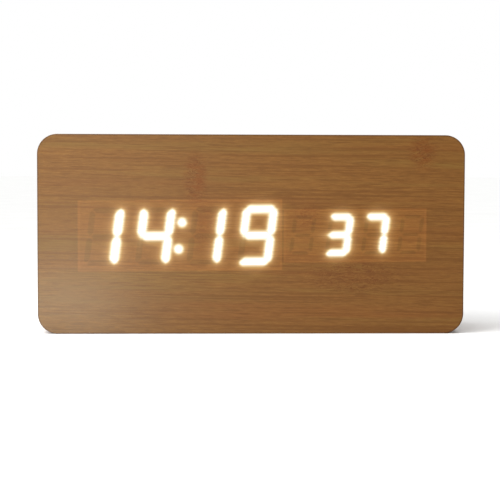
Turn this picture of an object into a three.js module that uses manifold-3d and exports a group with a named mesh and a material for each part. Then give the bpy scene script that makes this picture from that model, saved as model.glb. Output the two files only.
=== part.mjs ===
// A digital clock built into a wooden block: 150 mm wide, 70 mm tall and 40 mm deep.
// The lit figures shine through a thin wood veneer, and everything else is reached from the back.
// Lengths are in millimetres. X runs along the front, Y from the front to the back, and Z up.
// The origin is the middle of the underside.
import * as THREE from "three";
import { mergeVertices } from "three/addons/utils/BufferGeometryUtils.js";
import Module from "manifold-3d";

const wasm = await Module();
wasm.setup();

// Wooden case and its veneer
const CASE_WIDTH = 150;
const CASE_HEIGHT = 70;
const CASE_DEPTH = 40;
const CASE_CORNER = 7;
const CASE_WALL = 6;
const FRONT_WALL = 3;
const CAVITY_CORNER = 2;
const CORNER_POST = 10;
const REAR_RIM = 3;
const VENEER = 0.6;
const GLUE_LINE = 0.1;

// Clearances that neighbouring pieces share
const SEAT_GAP = 0.1;
const FIT_GAP = 0.3;
const SLIDING_GAP = 0.15;
const BOARD_ROOM = 1;
const CUT_OVERRUN = 1;

// Display modules: four slanted figures each, poured into a housing
const DISPLAY_SHIFT = 0.3;
const DISPLAY_DROP = 0.35;
const DISPLAY_MARGIN = 7.75;
const MODULE_SPACING = 0.5;
const TIME_WIDTH_SHARE = 0.587;
const MODULE_DEPTH = 8;
const MODULE_BASE = 1.2;
const MODULE_WALL = 1;
const EPOXY_BACKING = 2.4;
const FIGURES_PER_MODULE = 4;
const FIGURE_SLANT_DEG = 7.6;
const FIGURE_SHIFT = 0.4;
const BOND_GAP = 0.1;

const TIME_MODULE_HEIGHT = 25;
const TIME_FIGURE_HEIGHT = 21.2;
const TIME_FIGURE_SPACING = 5.7;
const TIME_STROKE = 2.7;
const TIME_CHAMFER = 2;
const TIME_SPACING = 0.5;
const COLON_RADIUS = 1.4;
const COLON_RISE = 9.4;
const COLON_DROP = 0.25;

const SMALL_MODULE_HEIGHT = 18.8;
const SMALL_FIGURE_HEIGHT = 14.6;
const SMALL_FIGURE_SPACING = 3.6;
const SMALL_STROKE = 2;
const SMALL_CHAMFER = 1.5;
const SMALL_SPACING = 0.35;

const PINS_PER_ROW = 6;
const PIN_PITCH = 2.54;
const PIN_WIDTH = 0.5;
const PIN_HOLE = 0.6;
const PIN_ROW_INSET = 2;
const PIN_STICK_OUT = 1;

// Display board and what is soldered on its back
const BOARD_THICKNESS = 1.6;
const BOARD_SCREW_INSET = 9;
const BOARD_SCREW_EDGE = 5.5;
const BOARD_PILLAR = 7;

const CHIP_X = -8;
const CHIP_LENGTH = 17.9;
const CHIP_WIDTH = 7.5;
const CHIP_THICKNESS = 2.3;
const CHIP_LEGS_PER_SIDE = 8;
const CHIP_LEG_PITCH = 2;
const CHIP_LEG_WIDTH = 0.6;
const CHIP_LEG_THICKNESS = 0.3;
const CHIP_LEG_REACH = 1.4;

const CRYSTAL_ROOM = 8;
const CRYSTAL_DROP = 15;
const CRYSTAL_LENGTH = 11;
const CRYSTAL_WIDTH = 4.6;
const CRYSTAL_THICKNESS = 3.5;

const BUZZER_ROOM = 5;
const BUZZER_RISE = 13;
const BUZZER_RADIUS = 6;
const BUZZER_HEIGHT = 8.5;
const BUZZER_PORT_RADIUS = 1.3;
const BUZZER_PORT_DEPTH = 2;

const COIN_RADIUS = 10;
const COIN_THICKNESS = 3.2;
const COIN_EDGE = 0.4;
const COIN_HOLDER_INSET = 20;
const COIN_HOLDER_WALL = 1.3;
const COIN_HOLDER_FLOOR = 0.8;
const COIN_CLIP_WIDTH = 5;
const COIN_CLIP_THICKNESS = 0.6;

// Key board: switches, power inlet, microphone and temperature sensor
const KEY_BOARD_THICKNESS = 1.2;
const KEY_BOARD_DEPTH = 9.5;
const KEY_BOARD_SCREW_INSET = 3.2;
const WIRE_CLEARANCE = 1.3;
const POST_ROOM = 2;

const SOCKET_WIDTH = 13;
const SOCKET_HEIGHT = 4;
const SOCKET_DEPTH = 4;
const SOCKET_SLOT_DEPTH = 1.5;
const KEY_SOCKET_INSET = 5;
const RIBBON_WIDTH = 10;
const RIBBON_THICKNESS = 0.8;
const RIBBON_SLACK = 7;

const LOWER_ROW = 7;
const INLET_INSET = 8;
const INLET_BODY = 8;
const INLET_NOSE_RADIUS = 3;
const INLET_BORE_RADIUS = 1.85;
const INLET_PIN_RADIUS = 0.65;
const INLET_PIN_RECESS = 1.4;
const INLET_FLOOR = 2;

const MICROPHONE_INSET = 9;
const MICROPHONE_RADIUS = 3;
const MICROPHONE_HEIGHT = 4.5;
const MICROPHONE_HOLE_RADIUS = 0.8;
const MICROPHONE_RING_WALL = 1.1;
const MICROPHONE_RING_DEPTH = 3.5;
const LEAD_WIDTH = 0.5;

const SENSOR_RADIUS = 1.4;
const SENSOR_DEPTH = 3.3;
const SENSOR_LEAD_SPACING = 1.5;

// Rear cover
const COVER_THICKNESS = 2.4;
const COVER_RECESS = 0.8;
const BOSS_RADIUS = 2.6;
const VENT_COUNT = 5;
const VENT_WIDTH = 1.4;
const VENT_HEIGHT = 10;
const VENT_PITCH = 3;

// Buttons and their switches
const BUTTON_NAMES = ["set", "up", "down"];
const BUTTON_PITCH = 13;
const BUTTON_ROW = 6;
const BUTTON_RADIUS = 3.5;
const BUTTON_STAND_OUT = 0.6;
const BUTTON_TRAVEL = 0.6;
const BUTTON_FLANGE_RADIUS = 4.6;
const BUTTON_FLANGE = 1;
const BUTTON_STEM_RADIUS = 2;
const BUTTON_EDGE = 0.4;
const SWITCH_BODY = 6;
const SWITCH_HEIGHT = 3.5;
const PLUNGER_RADIUS = 1.7;
const PLUNGER_STICK_OUT = 1.5;
const PLUNGER_SUNK = 1.3;
const PLUNGER_ROOM = 0.4;

// Battery compartment, its door and the four cells
const CELL_RADIUS = 5.25;
const CELL_LENGTH = 44.5;
const CELL_NUB_RADIUS = 1.9;
const CELL_NUB = 1;
const CELL_EDGE = 0.5;
const CELL_SPACING = 0.4;
const CELL_TO_DOOR = 0.6;
const COMPARTMENT_WALL = 1.2;
const HOOK_ROOM = 3.4;
const LATCH_ROOM = 1.8;
const CRADLE_GAP = 0.2;
const CRADLE_THICKNESS = 1.6;
const CRADLE_RISE = 2.6;
const CRADLE_SPREAD = 26;

const CONTACT_THICKNESS = 0.4;
const CONTACT_HEIGHT = 8.4;
const CONTACT_GAP = 0.2;
const DIMPLE_RADIUS = 2;
const DIMPLE = 0.6;
const TAB_WIDTH = 2.4;
const TAB_STICK_OUT = 3;
const SPRING_WIRE = 0.6;
const SPRING_TURNS = 4;
const SPRING_FOOT_RADIUS = 3.6;
const SPRING_TIP_RADIUS = 1.8;
const SPRING_LENGTH = 5;
const SPRING_SINK = 0.2;

const DOOR_THICKNESS = 1.8;
const DOOR_LEDGE = 0.7;
const DOOR_LEDGE_GAP = 0.2;
const BOTTOM_LIP = 2.1;
const TOP_LIP = 1;
const HOOK_WIDTH = 6;
const HOOK_THICKNESS = 1.2;
const HOOK_REACH = 1.8;
const HOOK_NECK = 1.2;
const HOOK_SPREAD = 15;
const LATCH_WIDTH = 9;
const LATCH_LENGTH = 9;
const LATCH_SLIT = 1;
const LATCH_LIP = 1.6;
const LATCH_LIP_DEPTH = 1.4;
const GRIP_COUNT = 3;
const GRIP_PITCH = 1.6;
const GRIP_WIDTH = 7;
const GRIP_HEIGHT = 0.7;
const GRIP_STAND_OUT = 0.4;
const SCOOP_RADIUS = 7;
const SCOOP_RISE = 4;
const SCOOP_DEPTH = 1.2;

const WIRE_RADIUS = 0.6;
const WIRE_BEND = 3;
const WIRE_LEAD = 0.8;

// Screws
const COVER_SCREW = { headRadius: 2.6, headHeight: 1.3, shankRadius: 1.4, shankLength: 10 };
const BOARD_SCREW = { headRadius: 2.2, headHeight: 1.2, shankRadius: 1, shankLength: 5 };
const KEY_SCREW = { headRadius: 2.2, headHeight: 1.2, shankRadius: 1, shankLength: 6 };
const SCREW_TIP = 0.8;
const CROSS_WIDTH = 0.7;
const CROSS_DEPTH = 0.7;
const CROSS_LENGTH_SHARE = 0.6;
const SCREW_HOLE_GAP = 0.3;

// How finely round shapes are stepped
const CORNER_STEPS = 5;
const SLOT_STEPS = 2;
const HOLE_STEPS = 10;
const ROUND_STEPS = 18;
const COIN_STEPS = 24;
const WIRE_SIDES = 6;
const SPRING_SIDES = 5;
const SPRING_STEPS_PER_TURN = 8;
const CURVE_STEPS = 14;
const MERGE_DISTANCE = 1e-4;

// Levels from the front to the back
const frontY = -CASE_DEPTH / 2;
const rearY = CASE_DEPTH / 2;
const veneerBackY = frontY + VENEER;
const caseFrontY = veneerBackY + GLUE_LINE;
const cavityFloorY = caseFrontY + FRONT_WALL;
const moduleFrontY = veneerBackY + FIT_GAP;
const moduleBackY = moduleFrontY + MODULE_DEPTH;
const boardFrontY = moduleBackY + SEAT_GAP;
const boardBackY = boardFrontY + BOARD_THICKNESS;
const coverOuterY = rearY - COVER_RECESS;
const coverInnerY = coverOuterY - COVER_THICKNESS;
const coverSeatY = coverInnerY - SEAT_GAP;
const keyBoardBackY = coverInnerY - KEY_BOARD_DEPTH;
const keyBoardFrontY = keyBoardBackY - KEY_BOARD_THICKNESS;
const doorInnerY = coverOuterY - DOOR_THICKNESS;
const cellY = doorInnerY - CELL_TO_DOOR - CELL_RADIUS;
const compartmentFloorY = cellY - CELL_RADIUS - FIT_GAP;

// Places across the clock, measured from the middle of the case
const cavityWidth = CASE_WIDTH - 2 * CASE_WALL;
const cavityHeight = CASE_HEIGHT - 2 * CASE_WALL;
const postX = cavityWidth / 2 - CORNER_POST / 2;
const postZ = cavityHeight / 2 - CORNER_POST / 2;
const boardScrewX = cavityWidth / 2 - CORNER_POST - BOARD_SCREW_INSET;
const boardScrewZ = cavityHeight / 2 - BOARD_SCREW_EDGE;
const rabbetWidth = CASE_WIDTH - 2 * REAR_RIM;
const rabbetHeight = CASE_HEIGHT - 2 * REAR_RIM;
const rabbetCorner = CASE_CORNER - REAR_RIM;
const coverWidth = rabbetWidth - 2 * FIT_GAP;
const coverHeight = rabbetHeight - 2 * FIT_GAP;

const displayWidth = cavityWidth - 2 * DISPLAY_MARGIN;
const timeWidth = TIME_WIDTH_SHARE * (displayWidth - MODULE_SPACING);
const smallWidth = displayWidth - MODULE_SPACING - timeWidth;
const timePitch = timeWidth / FIGURES_PER_MODULE;
const smallPitch = smallWidth / FIGURES_PER_MODULE;
const timeX = DISPLAY_SHIFT - displayWidth / 2 + timeWidth / 2;
const smallX = DISPLAY_SHIFT + displayWidth / 2 - smallWidth / 2;
const displayZ = -DISPLAY_DROP;

const springReach = CONTACT_THICKNESS + SPRING_LENGTH - SPRING_SINK;
const dimpleReach = CONTACT_THICKNESS + DIMPLE;
const innerLength = CELL_LENGTH + springReach + dimpleReach + 4 * CONTACT_GAP;
const cellPitch = 2 * CELL_RADIUS + CELL_SPACING;
const stackRoom = cavityHeight - 2 * (BOARD_ROOM + COMPARTMENT_WALL) - HOOK_ROOM - LATCH_ROOM;
const cellCount = 2 * Math.floor((stackRoom + CELL_SPACING) / (2 * cellPitch));
const innerHeight = cellCount * cellPitch - CELL_SPACING + HOOK_ROOM + LATCH_ROOM;
const innerLeft = -cavityWidth / 2 + CORNER_POST + POST_ROOM + COMPARTMENT_WALL;
const innerRight = innerLeft + innerLength;
const innerBottom = -innerHeight / 2;
const innerTop = innerHeight / 2;
const compartmentX = (innerLeft + innerRight) / 2;
const openingBottom = innerBottom + BOTTOM_LIP;
const openingTop = innerTop - TOP_LIP;
const openingWidth = innerLength + 2 * DOOR_LEDGE;

const wireRun = TAB_STICK_OUT + FIT_GAP + WIRE_LEAD + WIRE_BEND;
const keyBoardLeft = innerRight + COMPARTMENT_WALL + wireRun + WIRE_RADIUS + WIRE_CLEARANCE;
const keyBoardRight = cavityWidth / 2 - BOARD_ROOM;
const keyBoardX = (keyBoardLeft + keyBoardRight) / 2;
const keyBoardWidth = keyBoardRight - keyBoardLeft;
const keyBoardHeight = cavityHeight - 2 * (CORNER_POST + BOARD_ROOM);
const keySocketZ = KEY_SOCKET_INSET - keyBoardHeight / 2;
const buzzerX = keyBoardLeft + BUZZER_ROOM + BUZZER_RADIUS;
const crystalX = keyBoardLeft + CRYSTAL_ROOM + CRYSTAL_LENGTH / 2;
const coinHolderX = COIN_HOLDER_INSET - cavityWidth / 2;
const inletX = keyBoardRight - INLET_INSET;
const microphoneX = keyBoardLeft + MICROPHONE_INSET;
const lowerRowZ = -LOWER_ROW;

// Finishes
const finish = (color, roughness, metalness = 0) =>
  new THREE.MeshStandardMaterial({ color, roughness, metalness });
const bambooVeneer = finish(0x9c6b3c, 0.45);
const woodBlock = finish(0x96683b, 0.55);
const blackPlastic = finish(0x1b1b1c, 0.5);
const greyPlastic = finish(0xc9c3b8, 0.6);
const milkyEpoxy = finish(0xfff1d0, 0.3);
const boardGreen = finish(0x23603a, 0.5);
const steel = finish(0xb8babd, 0.3, 1);
const brass = finish(0xc9a55a, 0.35, 1);
const darkResin = finish(0x202124, 0.4);
const cellSleeve = finish(0x2f5d8a, 0.35);
const redInsulation = finish(0xb3211d, 0.5);
const blackInsulation = finish(0x151515, 0.5);
const ribbonGrey = finish(0xa9acb0, 0.6);

// A closed geometry as a solid that can be joined and cut
function solid(geometry) {
  const bare = geometry.clone();
  bare.deleteAttribute("normal");
  bare.deleteAttribute("uv");
  const merged = mergeVertices(bare, MERGE_DISTANCE);
  const corners = merged.index.array;
  const kept = [];
  for (let i = 0; i < corners.length; i += 3) {
    const [a, b, c] = [corners[i], corners[i + 1], corners[i + 2]];
    if (a !== b && b !== c && c !== a) kept.push(a, b, c);
  }
  return new wasm.Manifold(
    new wasm.Mesh({
      numProp: 3,
      vertProperties: merged.attributes.position.array,
      triVerts: new Uint32Array(kept),
    }),
  );
}

// A solid as a geometry again
function geometryOf(made) {
  const mesh = made.getMesh();
  const geometry = new THREE.BufferGeometry();
  geometry.setAttribute("position", new THREE.BufferAttribute(mesh.vertProperties, 3));
  geometry.setIndex(new THREE.BufferAttribute(mesh.triVerts, 1));
  const flat = geometry.toNonIndexed();
  flat.computeVertexNormals();
  return flat;
}

// The first geometry with all the others joined to it
function join(...geometries) {
  return geometryOf(geometries.map(solid).reduce((whole, next) => whole.add(next)));
}

// The base with every tool cut out of it
function cut(base, ...tools) {
  return geometryOf(tools.reduce((left, tool) => left.subtract(solid(tool)), solid(base)));
}

// A block between two corners
function block(x0, x1, y0, y1, z0, z1) {
  return new THREE.BoxGeometry(x1 - x0, y1 - y0, z1 - z0).translate(
    (x0 + x1) / 2,
    (y0 + y1) / 2,
    (z0 + z1) / 2,
  );
}

// A block of a width and a height centred on a line along Y
function bar(width, height, y0, y1, x = 0, z = 0) {
  return block(x - width / 2, x + width / 2, y0, y1, z - height / 2, z + height / 2);
}

// A round rod along Y
function rod(radius, y0, y1, x = 0, z = 0, steps = ROUND_STEPS) {
  return new THREE.CylinderGeometry(radius, radius, y1 - y0, steps).translate(x, (y0 + y1) / 2, z);
}

// Outlines drawn in X and Z, made solid from y0 to y1
function slab(outlines, y0, y1, curveSegments = CORNER_STEPS) {
  return new THREE.ExtrudeGeometry(outlines, {
    depth: y1 - y0,
    bevelEnabled: false,
    curveSegments,
  })
    .rotateX(Math.PI / 2)
    .translate(0, y1, 0);
}

// A rectangle with round corners, centred on the origin
function roundedRectangle(width, height, radius) {
  const x = width / 2 - radius;
  const z = height / 2 - radius;
  const outline = new THREE.Shape();
  outline.absarc(x, z, radius, 0, Math.PI / 2);
  outline.absarc(-x, z, radius, Math.PI / 2, Math.PI);
  outline.absarc(-x, -z, radius, Math.PI, 1.5 * Math.PI);
  outline.absarc(x, -z, radius, 1.5 * Math.PI, 2 * Math.PI);
  return outline;
}

// A round hole in an outline, with few steps
function roundHole(x, z, radius, steps = HOLE_STEPS) {
  const points = [];
  for (let i = 0; i < steps; i += 1) {
    const turn = (2 * Math.PI * i) / steps;
    points.push(new THREE.Vector2(x + radius * Math.cos(turn), z + radius * Math.sin(turn)));
  }
  return new THREE.Path(points);
}

// A mesh with its name, finish and place
function piece(name, geometry, material, x = 0, y = 0, z = 0) {
  const mesh = new THREE.Mesh(geometry, material);
  mesh.name = name;
  mesh.position.set(x, y, z);
  return mesh;
}

// The four signs of a rectangle's corners
const CORNERS = [
  [-1, -1],
  [1, -1],
  [1, 1],
  [-1, 1],
];

// A rectangle with its four corners cut away square, as the cavity has round its corner posts
function notchedRectangle(width, height, notch) {
  const [x, z] = [width / 2, height / 2];
  const [inX, inZ] = [x - notch, z - notch];
  return new THREE.Shape(
    [
      [-inX, -z],
      [inX, -z],
      [inX, -inZ],
      [x, -inZ],
      [x, inZ],
      [inX, inZ],
      [inX, z],
      [-inX, z],
      [-inX, inZ],
      [-x, inZ],
      [-x, -inZ],
      [-inX, -inZ],
    ].map(([px, pz]) => new THREE.Vector2(px, pz)),
  );
}

// Wooden case: a block milled hollow from the back, with posts for the cover's screws in its
// corners, pillars for the display board and a window behind the veneer for the two modules
function woodCase() {
  const outside = slab(
    roundedRectangle(CASE_WIDTH, CASE_HEIGHT, CASE_CORNER),
    caseFrontY,
    rearY,
  );
  const cavity = slab(
    notchedRectangle(cavityWidth, cavityHeight, CORNER_POST),
    cavityFloorY,
    rearY + CUT_OVERRUN,
  );
  const rabbet = slab(
    roundedRectangle(rabbetWidth, rabbetHeight, rabbetCorner),
    coverSeatY,
    rearY + CUT_OVERRUN,
  );
  const window = (width, height, x) =>
    bar(
      width + 2 * FIT_GAP,
      height + 2 * FIT_GAP,
      caseFrontY - CUT_OVERRUN,
      cavityFloorY + CUT_OVERRUN,
      x,
      displayZ,
    );
  const postHoles = CORNERS.map(([sx, sz]) =>
    rod(
      COVER_SCREW.shankRadius + SLIDING_GAP,
      coverSeatY - COVER_SCREW.shankLength,
      coverSeatY + CUT_OVERRUN,
      sx * postX,
      sz * postZ,
      HOLE_STEPS,
    ),
  );
  const hollow = cut(
    outside,
    cavity,
    rabbet,
    window(timeWidth, TIME_MODULE_HEIGHT, timeX),
    window(smallWidth, SMALL_MODULE_HEIGHT, smallX),
    ...postHoles,
  );
  const pillars = CORNERS.map(([sx, sz]) =>
    bar(
      BOARD_PILLAR,
      BOARD_PILLAR,
      cavityFloorY - SEAT_GAP,
      boardFrontY - SEAT_GAP,
      sx * boardScrewX,
      sz * boardScrewZ,
    ),
  );
  const pillarHoles = CORNERS.map(([sx, sz]) =>
    rod(
      BOARD_SCREW.shankRadius + SLIDING_GAP,
      boardBackY - BOARD_SCREW.shankLength - FIT_GAP,
      boardFrontY + CUT_OVERRUN,
      sx * boardScrewX,
      sz * boardScrewZ,
      HOLE_STEPS,
    ),
  );
  return cut(join(hollow, ...pillars), ...pillarHoles);
}

function frontVeneer() {
  return slab(roundedRectangle(CASE_WIDTH, CASE_HEIGHT, CASE_CORNER), frontY, veneerBackY);
}

// A screw along Y with its head's underside at zero and its point towards -Y
function screw({ headRadius, headHeight, shankRadius, shankLength }) {
  const profile = [
    [0, -shankLength],
    [shankRadius, SCREW_TIP - shankLength],
    [shankRadius, 0],
    [headRadius, 0],
    [headRadius, headHeight / 2],
    [(headRadius + shankRadius) / 2, headHeight],
    [0, headHeight],
  ].map(([r, y]) => new THREE.Vector2(r, y));
  const length = 2 * headRadius * CROSS_LENGTH_SHARE;
  const slotFloor = headHeight - CROSS_DEPTH;
  const slotTop = headHeight + CUT_OVERRUN;
  return cut(
    new THREE.LatheGeometry(profile, HOLE_STEPS),
    bar(length, CROSS_WIDTH, slotFloor, slotTop),
    bar(CROSS_WIDTH, length, slotFloor, slotTop),
  );
}

// The outlines of one seven-segment figure, centred on the origin and leaning to the right.
// Its strokes meet on mitres a spacing apart, and its four outer corners are chamfered.
function figureOutlines({ height, width, stroke, chamfer, spacing }, x) {
  const s = stroke / 2;
  const a = width / 2 - s;
  const b = height / 2 - s;
  const g = spacing / Math.SQRT2;
  const u = (chamfer - g) / 2;
  const upright = [
    [a - s, s + g],
    [a, g],
    [a + s, s + g],
    [a + s, b + s - chamfer],
    [a + s - u, b + s - chamfer + u],
    [a - s, b - s - g],
  ];
  const level = [
    [a - s - g, b - s],
    [a + s - chamfer + u, b + s - u],
    [a + s - chamfer, b + s],
    [-(a + s - chamfer), b + s],
    [-(a + s - chamfer + u), b + s - u],
    [-(a - s - g), b - s],
  ];
  const middle = [
    [a - g, 0],
    [a - s - g, s],
    [-(a - s - g), s],
    [-(a - g), 0],
    [-(a - s - g), -s],
    [a - s - g, -s],
  ];
  const lean = Math.tan(THREE.MathUtils.degToRad(FIGURE_SLANT_DEG));
  const strokes = [middle];
  for (const sz of [1, -1]) {
    strokes.push(level.map(([px, pz]) => [px, sz * pz]));
    for (const sx of [1, -1]) strokes.push(upright.map(([px, pz]) => [sx * px, sz * pz]));
  }
  return strokes.map(
    (points) => new THREE.Shape(points.map(([px, pz]) => new THREE.Vector2(x + px + lean * pz, pz))),
  );
}

// All the outlines that a module's light comes through. A trim makes each smaller all round.
function moduleOutlines(module, trim) {
  const outlines = [];
  const figure = {
    height: module.figureHeight - 2 * trim,
    width: module.figureWidth - 2 * trim,
    stroke: module.stroke - 2 * trim,
    chamfer: module.chamfer,
    spacing: module.spacing + 2 * trim,
  };
  for (let i = 0; i < FIGURES_PER_MODULE; i += 1) {
    const x = FIGURE_SHIFT + (i - (FIGURES_PER_MODULE - 1) / 2) * module.pitch;
    outlines.push(...figureOutlines(figure, x));
  }
  const lean = Math.tan(THREE.MathUtils.degToRad(FIGURE_SLANT_DEG));
  for (const side of module.colon ? [1, -1] : []) {
    const z = (side * COLON_RISE) / 2 - COLON_DROP;
    const dot = new THREE.Shape();
    dot.absarc(FIGURE_SHIFT + lean * z, z, COLON_RADIUS - trim, 0, 2 * Math.PI);
    outlines.push(dot);
  }
  return outlines;
}

// The places of a module's solder pins, across its own middle
function pinPlaces(module) {
  const places = [];
  const rowZ = module.height / 2 - PIN_ROW_INSET;
  for (let i = 0; i < PINS_PER_ROW; i += 1) {
    const x = (i - (PINS_PER_ROW - 1) / 2) * PIN_PITCH;
    places.push([x, rowZ], [x, -rowZ]);
  }
  return places;
}

// A display module: a housing with a window for each stroke, the clear epoxy poured into it, and
// a base that closes its back and carries the pins. Its front face is at y zero.
function displayModule(name, module) {
  const housingDepth = MODULE_DEPTH - MODULE_BASE - BOND_GAP;
  const faceDepth = housingDepth - EPOXY_BACKING;
  const pocketWidth = module.width - 2 * MODULE_WALL;
  const pocketHeight = module.height - 2 * MODULE_WALL;
  const housing = cut(
    bar(module.width, module.height, 0, housingDepth),
    bar(pocketWidth, pocketHeight, faceDepth, housingDepth + CUT_OVERRUN),
    slab(moduleOutlines(module, 0), -CUT_OVERRUN, faceDepth + CUT_OVERRUN),
  );
  const epoxy = join(
    bar(
      pocketWidth - 2 * BOND_GAP,
      pocketHeight - 2 * BOND_GAP,
      faceDepth + BOND_GAP,
      housingDepth,
    ),
    slab(moduleOutlines(module, BOND_GAP), BOND_GAP, faceDepth + 2 * BOND_GAP),
  );
  const base = join(
    bar(module.width - 2 * BOND_GAP, module.height - 2 * BOND_GAP, housingDepth + BOND_GAP, MODULE_DEPTH),
    ...pinPlaces(module).map(([x, z]) =>
      bar(
        PIN_WIDTH,
        PIN_WIDTH,
        MODULE_DEPTH - BOND_GAP,
        MODULE_DEPTH + SEAT_GAP + BOARD_THICKNESS + PIN_STICK_OUT,
        x,
        z,
      ),
    ),
  );
  const group = new THREE.Group();
  group.add(
    piece(`${name}_display_housing`, housing, greyPlastic),
    piece(`${name}_display_epoxy`, epoxy, milkyEpoxy),
    piece(`${name}_display_base`, base, boardGreen),
  );
  group.position.set(module.x, moduleFrontY, displayZ);
  return group;
}

const timeModule = {
  x: timeX,
  width: timeWidth,
  height: TIME_MODULE_HEIGHT,
  pitch: timePitch,
  figureHeight: TIME_FIGURE_HEIGHT,
  figureWidth: timePitch - TIME_FIGURE_SPACING,
  stroke: TIME_STROKE,
  chamfer: TIME_CHAMFER,
  spacing: TIME_SPACING,
  colon: true,
};
const smallModule = {
  x: smallX,
  width: smallWidth,
  height: SMALL_MODULE_HEIGHT,
  pitch: smallPitch,
  figureHeight: SMALL_FIGURE_HEIGHT,
  figureWidth: smallPitch - SMALL_FIGURE_SPACING,
  stroke: SMALL_STROKE,
  chamfer: SMALL_CHAMFER,
  spacing: SMALL_SPACING,
  colon: false,
};

// Display board, notched round the case's corner posts, drawn about the display's own middle
function displayBoard() {
  const outline = notchedRectangle(
    cavityWidth - 2 * BOARD_ROOM,
    cavityHeight - 2 * BOARD_ROOM,
    CORNER_POST,
  );
  for (const [sx, sz] of CORNERS) {
    outline.holes.push(
      roundHole(
        sx * boardScrewX,
        sz * boardScrewZ,
        BOARD_SCREW.shankRadius + SCREW_HOLE_GAP,
      ),
    );
  }
  for (const module of [timeModule, smallModule]) {
    for (const [x, z] of pinPlaces(module)) {
      outline.holes.push(roundHole(module.x + x, displayZ + z, PIN_HOLE, WIRE_SIDES));
    }
  }
  return slab(outline, boardFrontY, boardBackY);
}

// Controller chip with gull-wing legs, its board side at y zero
function controllerChip() {
  const body = bar(CHIP_LENGTH, CHIP_WIDTH, SEAT_GAP, CHIP_THICKNESS);
  const legs = [];
  const legLevel = CHIP_THICKNESS / 2;
  const t = CHIP_LEG_THICKNESS;
  for (let i = 0; i < CHIP_LEGS_PER_SIDE; i += 1) {
    const x = (i - (CHIP_LEGS_PER_SIDE - 1) / 2) * CHIP_LEG_PITCH;
    for (const side of [1, -1]) {
      const root = (side * CHIP_WIDTH) / 2;
      const knee = root + (side * CHIP_LEG_REACH) / 2;
      const toe = root + side * CHIP_LEG_REACH;
      const run = (y0, y1, from, to) =>
        bar(CHIP_LEG_WIDTH, Math.abs(to - from), y0, y1, x, (from + to) / 2);
      legs.push(
        run(legLevel, legLevel + t, root - side * t, knee),
        run(0, legLevel + t, knee - side * t, knee),
        run(0, t, knee - side * t, toe),
      );
    }
  }
  return join(body, ...legs);
}

// Quartz crystal in its low can with round ends
function quartzCrystal() {
  return slab(
    roundedRectangle(CRYSTAL_LENGTH, CRYSTAL_WIDTH, CRYSTAL_WIDTH / 2),
    0,
    CRYSTAL_THICKNESS,
    SLOT_STEPS,
  );
}

function buzzer() {
  return cut(
    rod(BUZZER_RADIUS, 0, BUZZER_HEIGHT),
    rod(
      BUZZER_PORT_RADIUS,
      BUZZER_HEIGHT - BUZZER_PORT_DEPTH,
      BUZZER_HEIGHT + CUT_OVERRUN,
      0,
      0,
      HOLE_STEPS,
    ),
  );
}

// Holder for the memory cell: a round cup with a spring clip across its mouth
function coinHolder() {
  const inside = COIN_RADIUS + FIT_GAP;
  const outside = inside + COIN_HOLDER_WALL;
  const mouth = COIN_HOLDER_FLOOR + COIN_THICKNESS + 2 * SLIDING_GAP;
  const cup = cut(
    rod(outside, 0, mouth, 0, 0, COIN_STEPS),
    rod(inside, COIN_HOLDER_FLOOR, mouth + CUT_OVERRUN, 0, 0, COIN_STEPS),
  );
  const clip = bar(2 * outside, COIN_CLIP_WIDTH, mouth, mouth + COIN_CLIP_THICKNESS);
  const clipWall = bar(
    COIN_HOLDER_WALL,
    COIN_CLIP_WIDTH,
    0,
    mouth + COIN_CLIP_THICKNESS,
    outside - COIN_HOLDER_WALL / 2,
  );
  return join(cup, clip, clipWall);
}

function coinCell() {
  const profile = [
    [0, 0],
    [COIN_RADIUS - COIN_EDGE, 0],
    [COIN_RADIUS, COIN_EDGE],
    [COIN_RADIUS, COIN_THICKNESS],
    [0, COIN_THICKNESS],
  ].map(([r, y]) => new THREE.Vector2(r, y));
  return new THREE.LatheGeometry(profile, COIN_STEPS);
}

// Ribbon socket whose slot opens towards the other board: +Y when side is 1, -Y when it is -1
function ribbonSocket(side) {
  const mouth = side * SOCKET_DEPTH;
  const slotEnds = [mouth - side * SOCKET_SLOT_DEPTH, mouth + side * CUT_OVERRUN].sort(
    (p, q) => p - q,
  );
  const bodyEnds = [0, mouth].sort((p, q) => p - q);
  return cut(
    bar(SOCKET_WIDTH, SOCKET_HEIGHT, ...bodyEnds),
    bar(RIBBON_WIDTH + 2 * FIT_GAP, RIBBON_THICKNESS + 2 * FIT_GAP, ...slotEnds),
  );
}

// Ribbon between the two sockets: an S bend in Y and Z, made solid along X
function ribbon() {
  const startY = boardBackY + SEAT_GAP + SOCKET_DEPTH - SOCKET_SLOT_DEPTH + FIT_GAP;
  const endY = keyBoardFrontY - SEAT_GAP - SOCKET_DEPTH + SOCKET_SLOT_DEPTH - FIT_GAP;
  const route = new THREE.CubicBezierCurve(
    new THREE.Vector2(startY, displayZ),
    new THREE.Vector2(startY + RIBBON_SLACK, displayZ),
    new THREE.Vector2(endY - RIBBON_SLACK, keySocketZ),
    new THREE.Vector2(endY, keySocketZ),
  );
  const [over, under] = [[], []];
  for (let i = 0; i <= CURVE_STEPS; i += 1) {
    const p = route.getPoint(i / CURVE_STEPS);
    const along = route.getTangent(i / CURVE_STEPS);
    const side = new THREE.Vector2(-along.y, along.x).multiplyScalar(RIBBON_THICKNESS / 2);
    over.push(p.clone().add(side));
    under.unshift(p.clone().sub(side));
  }
  // Drawn as (y, z) and extruded along +Z, then turned so that y, z and the width take their axes
  return new THREE.ExtrudeGeometry(new THREE.Shape([...over, ...under]), {
    depth: RIBBON_WIDTH,
    bevelEnabled: false,
  })
    .translate(0, 0, -RIBBON_WIDTH / 2)
    .rotateX(Math.PI / 2)
    .rotateZ(Math.PI / 2);
}

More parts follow.
